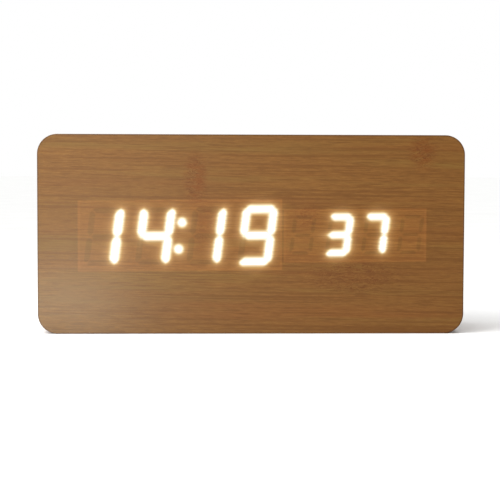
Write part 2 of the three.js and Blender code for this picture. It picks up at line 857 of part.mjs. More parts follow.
// Key board, with holes for its four screws and for the microphone's and the sensor's leads
function keyBoard() {
  const outline = roundedRectangle(keyBoardWidth, keyBoardHeight, CAVITY_CORNER);
  for (const [x, z] of keyScrewPlaces()) {
    outline.holes.push(roundHole(x - keyBoardX, z, KEY_SCREW.shankRadius + SCREW_HOLE_GAP));
  }
  for (const [x, z] of leadPlaces()) {
    outline.holes.push(roundHole(x - keyBoardX, z, PIN_HOLE, WIRE_SIDES));
  }
  return slab(outline, keyBoardFrontY, keyBoardBackY);
}

function keyScrewPlaces() {
  const x = keyBoardWidth / 2 - KEY_BOARD_SCREW_INSET;
  const z = keyBoardHeight / 2 - KEY_BOARD_SCREW_INSET;
  return CORNERS.map(([sx, sz]) => [keyBoardX + sx * x, sz * z]);
}

function leadPlaces() {
  const places = [];
  for (const side of [1, -1]) {
    places.push([microphoneX + (side * PIN_PITCH) / 2, lowerRowZ]);
    places.push([keyBoardX + (side * SENSOR_LEAD_SPACING) / 2, lowerRowZ]);
  }
  return places;
}

// Power inlet: a square body on the key board with a round nose that shows in the cover
function powerInlet() {
  const bodyBack = coverInnerY - FIT_GAP;
  const noseBack = coverOuterY - FIT_GAP;
  const bodyFront = keyBoardBackY + SEAT_GAP;
  return cut(
    join(
      bar(INLET_BODY, INLET_BODY, bodyFront, bodyBack),
      rod(INLET_NOSE_RADIUS, bodyBack - SEAT_GAP, noseBack),
    ),
    rod(INLET_BORE_RADIUS, bodyFront + INLET_FLOOR, noseBack + CUT_OVERRUN),
    rod(
      INLET_PIN_RADIUS + SLIDING_GAP,
      bodyFront - CUT_OVERRUN,
      bodyFront + INLET_FLOOR + CUT_OVERRUN,
      0,
      0,
      HOLE_STEPS,
    ),
  );
}

function powerInletPin() {
  return rod(
    INLET_PIN_RADIUS,
    keyBoardBackY + SEAT_GAP,
    coverOuterY - FIT_GAP - INLET_PIN_RECESS,
    0,
    0,
    HOLE_STEPS,
  );
}

// Microphone capsule behind its hole in the cover, on two leads that reach the key board
function microphone() {
  const face = coverInnerY - FIT_GAP;
  const back = face - MICROPHONE_HEIGHT;
  const leads = [1, -1].map((side) =>
    bar(LEAD_WIDTH, LEAD_WIDTH, keyBoardFrontY, back + SEAT_GAP, (side * PIN_PITCH) / 2),
  );
  return join(rod(MICROPHONE_RADIUS, back, face), ...leads);
}

// Temperature sensor: a bead on two leads, standing behind the vents
function temperatureSensor() {
  const beadY = coverInnerY - SENSOR_DEPTH;
  const bead = new THREE.SphereGeometry(SENSOR_RADIUS, HOLE_STEPS, CORNER_STEPS).translate(
    0,
    beadY,
    0,
  );
  const leads = [1, -1].map((side) =>
    bar(LEAD_WIDTH, LEAD_WIDTH, keyBoardFrontY, beadY, (side * SENSOR_LEAD_SPACING) / 2),
  );
  return join(bead, ...leads);
}

// Rear cover: a plate with the battery compartment, the key board's bosses and a ring for the
// microphone moulded on its inner side, and openings for door, buttons, inlet, sound and air
function rearCover() {
  const plate = slab(
    roundedRectangle(coverWidth, coverHeight, rabbetCorner - FIT_GAP),
    coverInnerY,
    coverOuterY,
  );
  const wall = COMPARTMENT_WALL;
  const tub = block(
    innerLeft - wall,
    innerRight + wall,
    compartmentFloorY - wall,
    coverInnerY + SEAT_GAP,
    innerBottom - wall,
    innerTop + wall,
  );
  const bosses = keyScrewPlaces().map(([x, z]) =>
    rod(BOSS_RADIUS, keyBoardBackY + SEAT_GAP, coverInnerY + SEAT_GAP, x, z, HOLE_STEPS),
  );
  const ringRadius = MICROPHONE_RADIUS + FIT_GAP + MICROPHONE_RING_WALL;
  const ring = rod(
    ringRadius,
    coverInnerY - MICROPHONE_RING_DEPTH,
    coverInnerY + SEAT_GAP,
    microphoneX,
    lowerRowZ,
  );
  const inside = block(
    innerLeft,
    innerRight,
    compartmentFloorY,
    coverInnerY,
    innerBottom,
    innerTop,
  );
  const mouth = block(
    innerLeft,
    innerRight,
    coverInnerY - SEAT_GAP,
    coverOuterY + CUT_OVERRUN,
    openingBottom,
    openingTop,
  );
  const doorSeat = block(
    compartmentX - openingWidth / 2,
    compartmentX + openingWidth / 2,
    doorInnerY - DOOR_LEDGE_GAP,
    coverOuterY + CUT_OVERRUN,
    openingBottom,
    openingTop,
  );
  const throughHole = (radius, x, z, steps = ROUND_STEPS) =>
    rod(radius, coverInnerY - CUT_OVERRUN, coverOuterY + CUT_OVERRUN, x, z, steps);
  const shell = cut(
    join(plate, tub, ring, ...bosses),
    inside,
    mouth,
    doorSeat,
    ...scoop(),
    ...tabSlots(),
    rod(
      MICROPHONE_RADIUS + FIT_GAP,
      coverInnerY - MICROPHONE_RING_DEPTH - CUT_OVERRUN,
      coverInnerY,
      microphoneX,
      lowerRowZ,
    ),
    throughHole(MICROPHONE_HOLE_RADIUS, microphoneX, lowerRowZ, HOLE_STEPS),
    throughHole(INLET_NOSE_RADIUS + FIT_GAP, inletX, lowerRowZ),
    ...buttonPlaces().map(([x, z]) => throughHole(BUTTON_RADIUS + FIT_GAP, x, z)),
    ...ventSlots(),
    ...coverScrewHoles(),
    ...keyScrewPlaces().map(([x, z]) =>
      rod(
        KEY_SCREW.shankRadius + SLIDING_GAP,
        keyBoardBackY - CUT_OVERRUN,
        keyBoardFrontY + KEY_SCREW.shankLength + FIT_GAP,
        x,
        z,
        HOLE_STEPS,
      ),
    ),
  );
  return join(shell, ...cradles());
}

// The finger scoop above the door's latch, a flat-bottomed bowl on the edge of the opening
function scoop() {
  const flattened = new THREE.CylinderGeometry(
    SCOOP_RADIUS,
    SCOOP_RADIUS,
    SCOOP_DEPTH + CUT_OVERRUN,
    ROUND_STEPS,
  );
  flattened.scale(1, 1, SCOOP_RISE / SCOOP_RADIUS);
  return [
    flattened.translate(
      compartmentX,
      coverOuterY - SCOOP_DEPTH + (SCOOP_DEPTH + CUT_OVERRUN) / 2,
      openingTop,
    ),
  ];
}

function ventSlots() {
  const slots = [];
  for (let i = 0; i < VENT_COUNT; i += 1) {
    const x = keyBoardX + (i - (VENT_COUNT - 1) / 2) * VENT_PITCH;
    slots.push(
      slab(
        roundedRectangle(VENT_WIDTH, VENT_HEIGHT, VENT_WIDTH / 2),
        coverInnerY - CUT_OVERRUN,
        coverOuterY + CUT_OVERRUN,
        SLOT_STEPS,
      ).translate(x, 0, lowerRowZ),
    );
  }
  return slots;
}

// A counterbored hole over each corner post
function coverScrewHoles() {
  return CORNERS.flatMap(([sx, sz]) => [
    rod(
      COVER_SCREW.shankRadius + SCREW_HOLE_GAP,
      coverInnerY - CUT_OVERRUN,
      coverOuterY + CUT_OVERRUN,
      sx * postX,
      sz * postZ,
      HOLE_STEPS,
    ),
    rod(
      COVER_SCREW.headRadius + SCREW_HOLE_GAP,
      coverOuterY - COVER_SCREW.headHeight - SEAT_GAP,
      coverOuterY + CUT_OVERRUN,
      sx * postX,
      sz * postZ,
    ),
  ]);
}

// Two scalloped ribs that stand on the compartment's floor and carry the cells
function cradles() {
  const floor = compartmentFloorY - SEAT_GAP;
  const scallops = cellPlaces().map(({ z }) =>
    new THREE.CylinderGeometry(
      CELL_RADIUS + CRADLE_GAP,
      CELL_RADIUS + CRADLE_GAP,
      innerLength,
      ROUND_STEPS,
    )
      .rotateZ(Math.PI / 2)
      .translate(compartmentX, cellY, z),
  );
  return [-1, 1].map((side) => {
    const x = compartmentX + (side * CRADLE_SPREAD) / 2;
    const rib = block(
      x - CRADLE_THICKNESS / 2,
      x + CRADLE_THICKNESS / 2,
      floor,
      compartmentFloorY + CRADLE_RISE,
      innerBottom - SEAT_GAP,
      innerTop + SEAT_GAP,
    );
    return cut(rib, ...scallops);
  });
}

// Cells lie along X, one above another, and point right and left in turn. facing is 1 where the
// nub points to +X.
function cellPlaces() {
  const places = [];
  for (let i = 0; i < cellCount; i += 1) {
    const facing = i % 2 === 0 ? 1 : -1;
    const nubEnd = facing > 0 ? innerRight : innerLeft;
    const x = nubEnd - facing * (2 * CONTACT_GAP + dimpleReach + CELL_LENGTH / 2);
    const z = innerBottom + HOOK_ROOM + CELL_RADIUS + i * cellPitch;
    places.push({ x, z, facing });
  }
  return places;
}

// A cell along X with its nub towards +X and its middle at the origin
function cell() {
  const half = CELL_LENGTH / 2;
  const profile = [
    [0, -half],
    [CELL_RADIUS - CELL_EDGE, -half],
    [CELL_RADIUS, CELL_EDGE - half],
    [CELL_RADIUS, half - CELL_NUB - CELL_EDGE],
    [CELL_RADIUS - CELL_EDGE, half - CELL_NUB],
    [CELL_NUB_RADIUS, half - CELL_NUB],
    [CELL_NUB_RADIUS, half],
    [0, half],
  ].map(([r, y]) => new THREE.Vector2(r, y));
  return new THREE.LatheGeometry(profile, ROUND_STEPS).rotateZ(-Math.PI / 2);
}

// The centreline of a contact's spring, narrowing from its foot to its tip as it goes along +X.
// Both ends run straight for one wire's thickness.
class SpringLine extends THREE.Curve {
  getPoint(t, target = new THREE.Vector3()) {
    const coiled = SPRING_LENGTH - 2 * SPRING_WIRE;
    const lead = SPRING_WIRE / (SPRING_TURNS + 2);
    const share = THREE.MathUtils.clamp((t - lead) / (1 - 2 * lead), 0, 1);
    const angle = 2 * Math.PI * SPRING_TURNS * share;
    const radius = THREE.MathUtils.lerp(SPRING_FOOT_RADIUS, SPRING_TIP_RADIUS, share);
    const before = Math.min(t / lead, 1) * SPRING_WIRE;
    const after = Math.max((t - 1 + lead) / lead, 0) * SPRING_WIRE;
    return target.set(
      before + coiled * share + after,
      radius * Math.cos(angle),
      radius * Math.sin(angle),
    );
  }
}

// The least gap that a coiled spring keeps between its turns, measured on points
function springGap() {
  const steps = SPRING_TURNS * SPRING_STEPS_PER_TURN;
  const points = new SpringLine().getPoints(steps);
  let least = Infinity;
  points.forEach((p, i) => {
    for (let j = i + SPRING_STEPS_PER_TURN / 2; j < points.length; j += 1) {
      least = Math.min(least, p.distanceTo(points[j]));
    }
  });
  return least - SPRING_WIRE;
}

// A round section swept along a curve
function tube(path, radius, sides, steps) {
  const section = new THREE.Shape(roundHole(0, 0, radius, sides).getPoints());
  return new THREE.ExtrudeGeometry(section, { steps, extrudePath: path, bevelEnabled: false });
}

// A spring with its foot sunk into a plate's face at x zero, pointing towards +X
function spring() {
  return tube(
    new SpringLine(),
    SPRING_WIRE / 2,
    SPRING_SIDES,
    SPRING_TURNS * SPRING_STEPS_PER_TURN,
  ).translate(-SPRING_SINK, 0, 0);
}

// A contact at one end of the compartment: a plate over the ends of the cells in list, with a
// spring for each negative end and a dimple for each nub. The plate's outer face is at x zero and
// it points towards +X. A tab, if any, goes back through the compartment's end wall.
function contact(list, tabbed) {
  const zs = list.map(({ z }) => z);
  const plate = block(
    0,
    CONTACT_THICKNESS,
    -CONTACT_HEIGHT / 2,
    CONTACT_HEIGHT / 2,
    Math.min(...zs) - CONTACT_HEIGHT / 2,
    Math.max(...zs) + CONTACT_HEIGHT / 2,
  );
  const touching = list.map(({ z, nub }) =>
    nub
      ? rod(DIMPLE_RADIUS, 0, DIMPLE + SEAT_GAP, 0, 0, HOLE_STEPS)
          .rotateZ(-Math.PI / 2)
          .translate(CONTACT_THICKNESS - SEAT_GAP, 0, z)
      : spring().translate(CONTACT_THICKNESS, 0, z),
  );
  const tab = block(
    -(CONTACT_GAP + COMPARTMENT_WALL + TAB_STICK_OUT),
    SEAT_GAP,
    -TAB_WIDTH / 2,
    TAB_WIDTH / 2,
    zs[0] - CONTACT_THICKNESS / 2,
    zs[0] + CONTACT_THICKNESS / 2,
  );
  return join(plate, ...touching, ...(tabbed ? [tab] : []));
}

// Every contact, with the end of the compartment that it stands at and the cells that it touches
function contactPlan() {
  const cells = cellPlaces();
  const plan = [];
  for (let i = 0; i + 1 < cells.length; i += 1) {
    const side = cells[i].facing > 0 ? -1 : 1;
    plan.push({ name: `link_contact_${i + 1}_${i + 2}`, side, cells: [cells[i], cells[i + 1]] });
  }
  const last = cells[cells.length - 1];
  plan.push({ name: "positive_contact", side: cells[0].facing, cells: [cells[0]], tabbed: true });
  plan.push({ name: "negative_contact", side: -last.facing, cells: [last], tabbed: true });
  return plan.map((made) => ({
    ...made,
    list: made.cells.map(({ z, facing }) => ({ z, nub: facing === made.side })),
  }));
}

// The slots that the two tabs leave the compartment by
function tabSlots() {
  return contactPlan()
    .filter(({ tabbed }) => tabbed)
    .map(({ side, list }) => {
      const wallX = side > 0 ? innerRight : innerLeft;
      return bar(
        2 * (COMPARTMENT_WALL + CUT_OVERRUN),
        CONTACT_THICKNESS + 2 * FIT_GAP,
        cellY - TAB_WIDTH / 2 - FIT_GAP,
        cellY + TAB_WIDTH / 2 + FIT_GAP,
        wallX,
        list[0].z,
      );
    });
}

// Battery door, drawn about its swing line: the lower edge of its opening, level with the
// cover's face. Two hooks hold behind the lower lip and a springy tongue holds at the top.
function batteryDoor() {
  const top = openingTop - openingBottom - FIT_GAP;
  const panel = block(
    FIT_GAP - openingWidth / 2,
    openingWidth / 2 - FIT_GAP,
    -DOOR_THICKNESS,
    0,
    FIT_GAP,
    top,
  );
  const hookBack = -COVER_THICKNESS - FIT_GAP;
  const hooks = [-1, 1].flatMap((side) => {
    const x0 = side * HOOK_SPREAD - HOOK_WIDTH / 2;
    const x1 = side * HOOK_SPREAD + HOOK_WIDTH / 2;
    return [
      block(x0, x1, hookBack - HOOK_THICKNESS, SEAT_GAP - DOOR_THICKNESS, FIT_GAP, FIT_GAP + HOOK_NECK),
      block(x0, x1, hookBack - HOOK_THICKNESS, hookBack, -HOOK_REACH, FIT_GAP + HOOK_NECK),
    ];
  });
  const lip = block(
    -LATCH_WIDTH / 2,
    LATCH_WIDTH / 2,
    -DOOR_THICKNESS - LATCH_LIP_DEPTH,
    SEAT_GAP - DOOR_THICKNESS,
    top - LATCH_LIP,
    top,
  );
  const grips = [];
  for (let i = 0; i < GRIP_COUNT; i += 1) {
    grips.push(
      bar(
        GRIP_WIDTH,
        GRIP_HEIGHT,
        -SEAT_GAP,
        GRIP_STAND_OUT,
        0,
        top - LATCH_LIP - i * GRIP_PITCH - GRIP_HEIGHT,
      ),
    );
  }
  const slits = [-1, 1].map((side) =>
    bar(
      LATCH_SLIT,
      LATCH_LENGTH,
      -DOOR_THICKNESS - CUT_OVERRUN,
      CUT_OVERRUN,
      (side * (LATCH_WIDTH + LATCH_SLIT)) / 2,
      top - LATCH_LENGTH / 2 + CUT_OVERRUN / 2,
    ),
  );
  return cut(join(panel, lip, ...hooks, ...grips), ...slits);
}

function buttonPlaces() {
  const middle = (BUTTON_NAMES.length - 1) / 2;
  return BUTTON_NAMES.map((name, i) => [keyBoardX + (middle - i) * BUTTON_PITCH, BUTTON_ROW]);
}

// Where a button's stem stops, just short of the switch's plunger
const plungerTopY = keyBoardBackY + SEAT_GAP + SWITCH_HEIGHT + PLUNGER_STICK_OUT;

// A round cap with a flange that holds it behind the cover, and a stem down to its switch
function button() {
  const flangeBack = coverInnerY - FIT_GAP;
  const profile = [
    [0, plungerTopY + SEAT_GAP],
    [BUTTON_STEM_RADIUS, plungerTopY + SEAT_GAP],
    [BUTTON_STEM_RADIUS, flangeBack - BUTTON_FLANGE],
    [BUTTON_FLANGE_RADIUS, flangeBack - BUTTON_FLANGE],
    [BUTTON_FLANGE_RADIUS, flangeBack],
    [BUTTON_RADIUS, flangeBack],
    [BUTTON_RADIUS, coverOuterY + BUTTON_STAND_OUT - BUTTON_EDGE],
    [BUTTON_RADIUS - BUTTON_EDGE, coverOuterY + BUTTON_STAND_OUT],
    [0, coverOuterY + BUTTON_STAND_OUT],
  ].map(([r, y]) => new THREE.Vector2(r, y));
  return new THREE.LatheGeometry(profile, ROUND_STEPS);
}

// A push switch's body, with the well that its plunger sinks into
function switchBody() {
  const front = keyBoardBackY + SEAT_GAP;
  const back = front + SWITCH_HEIGHT;
  const wellFloor = back - PLUNGER_SUNK - BUTTON_TRAVEL - PLUNGER_ROOM;
  return cut(
    bar(SWITCH_BODY, SWITCH_BODY, front, back),
    rod(PLUNGER_RADIUS + SLIDING_GAP, wellFloor, back + CUT_OVERRUN),
  );
}

function plunger() {
  return rod(PLUNGER_RADIUS, plungerTopY - PLUNGER_STICK_OUT - PLUNGER_SUNK, plungerTopY);
}

// A wire from a contact's tab, out along X and then forward to the display board
function batteryWire() {
  const startX = TAB_STICK_OUT + FIT_GAP;
  const endY = boardBackY + FIT_GAP - cellY;
  const path = new THREE.CurvePath();
  const turnX = startX + WIRE_LEAD;
  const corner = new THREE.Vector3(turnX + WIRE_BEND, 0, 0);
  const start = new THREE.Vector3(startX, 0, 0);
  const bendStart = new THREE.Vector3(turnX, 0, 0);
  const bendEnd = new THREE.Vector3(turnX + WIRE_BEND, -WIRE_BEND, 0);
  const end = new THREE.Vector3(turnX + WIRE_BEND, endY, 0);
  path.add(new THREE.LineCurve3(start, bendStart));
  path.add(new THREE.QuadraticBezierCurve3(bendStart, corner, bendEnd));
  path.add(new THREE.LineCurve3(bendEnd, end));
  return tube(path, WIRE_RADIUS, WIRE_SIDES, CURVE_STEPS);
}

// The assembly, with everything inside the case measured from the middle of the case
const clock = new THREE.Group();
const middle = new THREE.Group();
middle.position.z = CASE_HEIGHT / 2;
clock.add(middle);

middle.add(
  piece("wood_case", woodCase(), woodBlock),
  piece("front_veneer", frontVeneer(), bambooVeneer),
  piece("rear_cover", rearCover(), blackPlastic),
);

CORNERS.forEach(([sx, sz], i) => {
  const headSeatY = coverOuterY - COVER_SCREW.headHeight;
  middle.add(
    piece(`cover_screw_${i + 1}`, screw(COVER_SCREW), steel, sx * postX, headSeatY, sz * postZ),
    piece(
      `display_board_screw_${i + 1}`,
      screw(BOARD_SCREW),
      steel,
      sx * boardScrewX,
      boardBackY + SEAT_GAP,
      sz * boardScrewZ,
    ),
  );
});

// What stands on the back of the display board
const onBoard = boardBackY + SEAT_GAP;
const coinY = onBoard + COIN_HOLDER_FLOOR + SLIDING_GAP;
middle.add(
  displayModule("time", timeModule),
  displayModule("small", smallModule),
  piece("display_board", displayBoard(), boardGreen),
  piece("controller_chip", controllerChip(), darkResin, CHIP_X, onBoard, displayZ),
  piece("quartz_crystal", quartzCrystal(), steel, crystalX, onBoard, -CRYSTAL_DROP),
  piece("buzzer", buzzer(), darkResin, buzzerX, onBoard, BUZZER_RISE),
  piece("coin_cell_holder", coinHolder(), blackPlastic, coinHolderX, onBoard, displayZ),
  piece("coin_cell", coinCell(), steel, coinHolderX, coinY, displayZ),
  piece("display_board_socket", ribbonSocket(1), greyPlastic, keyBoardX, onBoard, displayZ),
);

// Key board and what it carries
middle.add(
  piece("key_board", keyBoard(), boardGreen, keyBoardX, 0, 0),
  piece(
    "key_board_socket",
    ribbonSocket(-1),
    greyPlastic,
    keyBoardX,
    keyBoardFrontY - SEAT_GAP,
    keySocketZ,
  ),
  piece("board_ribbon", ribbon(), ribbonGrey, keyBoardX, 0, 0),
  piece("power_inlet", powerInlet(), blackPlastic, inletX, 0, lowerRowZ),
  piece("power_inlet_pin", powerInletPin(), brass, inletX, 0, lowerRowZ),
  piece("microphone", microphone(), steel, microphoneX, 0, lowerRowZ),
  piece("temperature_sensor", temperatureSensor(), darkResin, keyBoardX, 0, lowerRowZ),
);
keyScrewPlaces().forEach(([x, z], i) => {
  const made = piece(
    `key_board_screw_${i + 1}`,
    screw(KEY_SCREW),
    steel,
    x,
    keyBoardFrontY - SEAT_GAP,
    z,
  );
  made.rotation.x = Math.PI;
  middle.add(made);
});
buttonPlaces().forEach(([x, z], i) => {
  const name = BUTTON_NAMES[i];
  middle.add(
    piece(`${name}_button`, button(), blackPlastic, x, 0, z),
    piece(`${name}_switch`, switchBody(), darkResin, x, 0, z),
    piece(`${name}_plunger`, plunger(), brass, x, 0, z),
  );
});

// Battery door, cells, contacts and the two wires
middle.add(
  piece("battery_door", batteryDoor(), blackPlastic, compartmentX, coverOuterY, openingBottom),
);
cellPlaces().forEach(({ x, z, facing }, i) => {
  const made = piece(`battery_cell_${i + 1}`, cell(), cellSleeve, x, cellY, z);
  if (facing < 0) made.rotation.z = Math.PI;
  middle.add(made);
});
for (const { name, side, list, tabbed } of contactPlan()) {
  const wallX = side > 0 ? innerRight : innerLeft;
  const made = piece(name, contact(list, tabbed), steel, wallX - side * CONTACT_GAP, cellY, 0);
  if (side > 0) made.rotation.z = Math.PI;
  middle.add(made);
  if (!tabbed) continue;
  const wire = piece(
    name.replace("contact", "wire"),
    batteryWire(),
    name.startsWith("positive") ? redInsulation : blackInsulation,
    wallX + COMPARTMENT_WALL,
    cellY,
    list[0].z,
  );
  middle.add(wire);
}

console.log(`least gap between a contact spring's turns: ${springGap().toFixed(2)} mm`);

export default clock;
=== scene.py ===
import math

import bmesh
import bpy
import numpy as np
from mathutils import Matrix, Vector


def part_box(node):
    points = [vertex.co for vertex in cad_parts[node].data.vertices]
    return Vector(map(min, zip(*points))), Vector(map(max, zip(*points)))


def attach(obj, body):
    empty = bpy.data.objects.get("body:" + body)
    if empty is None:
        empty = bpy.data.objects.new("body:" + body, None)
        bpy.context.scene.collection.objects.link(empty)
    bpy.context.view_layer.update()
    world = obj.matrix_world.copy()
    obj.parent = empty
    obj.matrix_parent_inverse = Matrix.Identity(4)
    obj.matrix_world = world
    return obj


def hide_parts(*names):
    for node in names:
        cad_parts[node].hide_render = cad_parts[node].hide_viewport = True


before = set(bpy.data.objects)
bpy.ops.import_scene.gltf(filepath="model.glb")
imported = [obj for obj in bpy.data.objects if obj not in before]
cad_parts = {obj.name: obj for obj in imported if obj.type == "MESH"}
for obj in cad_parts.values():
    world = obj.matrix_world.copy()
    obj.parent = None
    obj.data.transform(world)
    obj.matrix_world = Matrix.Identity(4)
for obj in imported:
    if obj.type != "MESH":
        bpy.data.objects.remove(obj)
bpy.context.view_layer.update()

# Wooden digital clock: a bamboo block whose lit figures shine through its thin veneer front.
# Lengths are in millimetres and are turned to metres by MM. X is right from the front, Y is back,
# Z is up.

MM = 0.001

WIDTH, DEPTH, HEIGHT, CORNER = 150.0, 40.0, 70.0, 7.0
FRONT = -20.0                     # the face that is looked at
VENEER_BACK = -19.3               # veneer and its glue line together
COVER_FACE = 19.2                 # outer face of the rear cover, of its door and of its screws' heads
MARK_DEPTH = 0.35                 # of the marks in the buttons and the door
CUTTER_TALL = 0.8

# Each row of figures: middle of the first figure, pitch, height of its middle, half the distance
# between its upright bars and between its top and bottom bars, width of upright and level bars,
# how their ends are cut, how far they lean, and how far each figure's light swells and spreads.
# Each module sits a little askew: it climbs by skew to the right of its pivot.
TIME_ROW = dict(
    shows="1419", first=-52.01, pitch=17.95, middle=34.45, half_wide=4.75, half_tall=9.20,
    upright=2.75, level=2.61, neck=0.14, tongue=-0.11, mitre=0.15, corner=0.66, end=0.16,
    rounding=0.32, lean=0.127, spread=0.33, swell=(0.25, 0.16, 0.10, 0.07), skew=0.009, pivot=-25.0)
SMALL_ROW = dict(
    shows=" 37 ", first=17.875, pitch=12.69, middle=34.91, half_wide=3.37, half_tall=6.31,
    upright=2.05, level=1.85, neck=-0.14, tongue=-0.02, mitre=-0.17, corner=0.30, end=-0.08,
    rounding=0.11, lean=0.125, spread=0.40, swell=(0.27, 0.27, 0.27, 0.27), skew=0.008, pivot=36.0)
# The bars that each figure lights, by their usual letters.
BARS_OF = {"1": "bc", "3": "abcdg", "4": "bcfg", "7": "abc", "9": "abcdfg", " ": ""}
COLON = [(-24.51, 39.20), (-25.71, 29.86)]
COLON_RADIUS = 1.54
# Face of each display module behind the veneer: left, right, lower and upper edge.
MODULES = [(-60.95, 10.66, 22.15, 47.15), (11.16, 61.55, 25.25, 44.05)]
FAR = 9.0                         # further from a bar than its light reaches

# Turns that lay a cylinder along Y and along X.
ALONG_Y, ALONG_X = (math.pi / 2, 0, 0), (0, math.pi / 2, 0)

# Settings that many nodes share. A Map Range takes its value at socket 0, its range at 1 and 2 and
# what it gives there at 3 and 4. A colour Mix takes its share at 0 and its colours at 6 and 7, and
# gives its colour at 2.
SOFT_STEP = {"interpolation_type": "SMOOTHSTEP"}
TINT = {"data_type": "RGBA"}
STAIN = {"data_type": "RGBA", "blend_type": "MULTIPLY"}


# ---------------------------------------------------------------- tools of the bench

def colour(code):
    """A colour given as sRGB hex, such as "9a6e44", in Blender's linear light."""
    parts = [int(code[i:i + 2], 16) / 255 for i in (0, 2, 4)]
    return tuple(p / 12.92 if p <= 0.04045 else ((p + 0.055) / 1.055) ** 2.4 for p in parts) + (1.0,)


def add(tree, kind, settings, inputs, out=0):
    """Adds one node with its settings and its inputs, each a value or a link, and gives its output."""
    node = tree.nodes.new(kind)
    for name, value in settings.items():
        if name == "stops":
            ramp = node.color_ramp
            while len(ramp.elements) < len(value):
                ramp.elements.new(0.5)
            for stop, (place, shade) in zip(ramp.elements, value):
                stop.position, stop.color = place, shade
        else:
            setattr(node, name, value)
    for name, value in inputs.items():
        socket = node.inputs[name]
        if isinstance(value, bpy.types.NodeSocket):
            tree.links.new(value, socket)
        else:
            socket.default_value = value
    return node.outputs[out]


def finish(name, **constants):
    """A material with its constants on the shader's own sockets. Gives it, its tree, its shader and
    its place in mm."""
    made = bpy.data.materials.new(name)
    made.use_nodes = True
    tree = made.node_tree
    shader = tree.nodes["Principled BSDF"]
    for socket, value in constants.items():
        shader.inputs[socket.replace("_", " ")].default_value = value
    place = add(tree, "ShaderNodeTexCoord", {}, {}, "Object")
    place = add(tree, "ShaderNodeVectorMath", {"operation": "SCALE"}, {0: place, "Scale": 1000.0})
    return made, tree, shader, place


def lead(tree, shader, **results):
    """Leads what the nodes give to the shader's own sockets."""
    for socket, result in results.items():
        tree.links.new(result, shader.inputs[socket.replace("_", " ")])


def clear_bench():
    """Leaves edit mode and deselects everything."""
    if bpy.context.object and bpy.context.object.mode != "OBJECT":
        bpy.ops.object.mode_set(mode="OBJECT")
    bpy.ops.object.select_all(action="DESELECT")


def only(piece):
    """Makes this piece the only selected one, and the active one."""
    clear_bench()
    piece.select_set(True)
    bpy.context.view_layer.objects.active = piece


def begin(name, primitive, **given):
    """Starts a new piece from a primitive, with its size and place laid into its mesh."""
    clear_bench()
    primitive(**given)
    piece = bpy.context.object
    piece.name = piece.data.name = name
    bpy.ops.object.transform_apply(location=True, rotation=True, scale=True)
    return piece


def block(name, low, high):
    """Starts a piece from a cube with these lowest and highest corners, in mm."""
    middle = [(a + b) / 2 * MM for a, b in zip(low, high)]
    size = [(b - a) * MM for a, b in zip(low, high)]
    return begin(name, bpy.ops.mesh.primitive_cube_add, size=1, location=middle, scale=size)


def copied(source, name):
    """A copy of an object with a mesh of its own, the only selected one."""
    piece = bpy.data.objects.new(name, source.data.copy())
    piece.data.name = name
    bpy.context.scene.collection.objects.link(piece)
    only(piece)
    return piece


def laid(pattern, name, place, turn=0.0):
    """A copy of a finished shape, turned about Z and laid at a place in mm, in its mesh."""
    piece = copied(pattern, name)
    piece.rotation_euler = (0, 0, turn)
    piece.location = [v * MM for v in place]
    bpy.ops.object.transform_apply(location=True, rotation=True, scale=True)
    return piece


def recut(name, node):
    """A copy of a CAD node's mesh, merged and with its flat faces whole again, ready to be worked."""
    piece = copied(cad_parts[node], name)
    piece.data.materials.clear()
    if piece.data.has_custom_normals:
        bpy.ops.mesh.customdata_custom_splitnormals_clear()
    bpy.ops.object.mode_set(mode="EDIT")
    bpy.ops.mesh.select_all(action="SELECT")
    bpy.ops.mesh.remove_doubles(threshold=0.002 * MM)
    bpy.ops.mesh.dissolve_limited(angle_limit=math.radians(0.5))
    bpy.ops.object.mode_set(mode="OBJECT")
    return piece


def choose(piece, kind, wanted):
    """Selects, in edit mode, the faces or edges that are wanted: a face by its middle and normal, an
    edge by its ends, in mm."""
    only(piece)
    bpy.ops.object.mode_set(mode="EDIT")
    bpy.ops.mesh.select_mode(type={"polygons": "FACE", "edges": "EDGE"}[kind])
    bpy.ops.mesh.select_all(action="DESELECT")
    bpy.ops.object.mode_set(mode="OBJECT")
    mesh = piece.data
    count = 0
    for part in getattr(mesh, kind):
        if kind == "polygons":
            part.select = bool(wanted(part.center / MM, part.normal))
        else:
            part.select = bool(wanted(*[mesh.vertices[v].co / MM for v in part.vertices]))
        count += part.select
    bpy.ops.object.mode_set(mode="EDIT")
    if not count:
        raise ValueError(f"nothing was chosen on {piece.name}")


def ease(piece, width, wanted, steps=2):
    """Rounds the sharp outward edges that are wanted, each given by its two ends in mm."""
    only(piece)
    shape = bmesh.new()
    shape.from_mesh(piece.data)
    chosen = [edge.index for edge in shape.edges
              if len(edge.link_faces) == 2 and edge.is_convex
              and edge.calc_face_angle() > math.radians(40)
              and wanted(*[point.co / MM for point in edge.verts])]
    shape.free()
    if not chosen:
        raise ValueError(f"no edge was chosen on {piece.name}")
    bpy.ops.object.mode_set(mode="EDIT")
    bpy.ops.mesh.select_mode(type="EDGE")
    bpy.ops.mesh.select_all(action="DESELECT")
    bpy.ops.object.mode_set(mode="OBJECT")
    for index in chosen:
        piece.data.edges[index].select = True
    bpy.ops.object.mode_set(mode="EDIT")
    bpy.ops.mesh.bevel(offset=width * MM, segments=steps, affect="EDGES")
    bpy.ops.object.mode_set(mode="OBJECT")


def cut(piece, tool):
    """Cuts a tool's shape out of a piece and puts the tool away."""
    only(piece)
    taken = piece.modifiers.new("cut", "BOOLEAN")
    taken.operation, taken.solver, taken.object = "DIFFERENCE", "EXACT", tool
    bpy.ops.object.modifier_apply(modifier=taken.name)
    bpy.data.objects.remove(tool)


def near(a, b, slack=0.02):
    """Whether two measures in mm are the same."""
    return abs(a - b) < slack


def at_y(depth):
    """Wants the edges that lie at this depth."""
    return lambda a, b: near(a.y, depth) and near(b.y, depth)


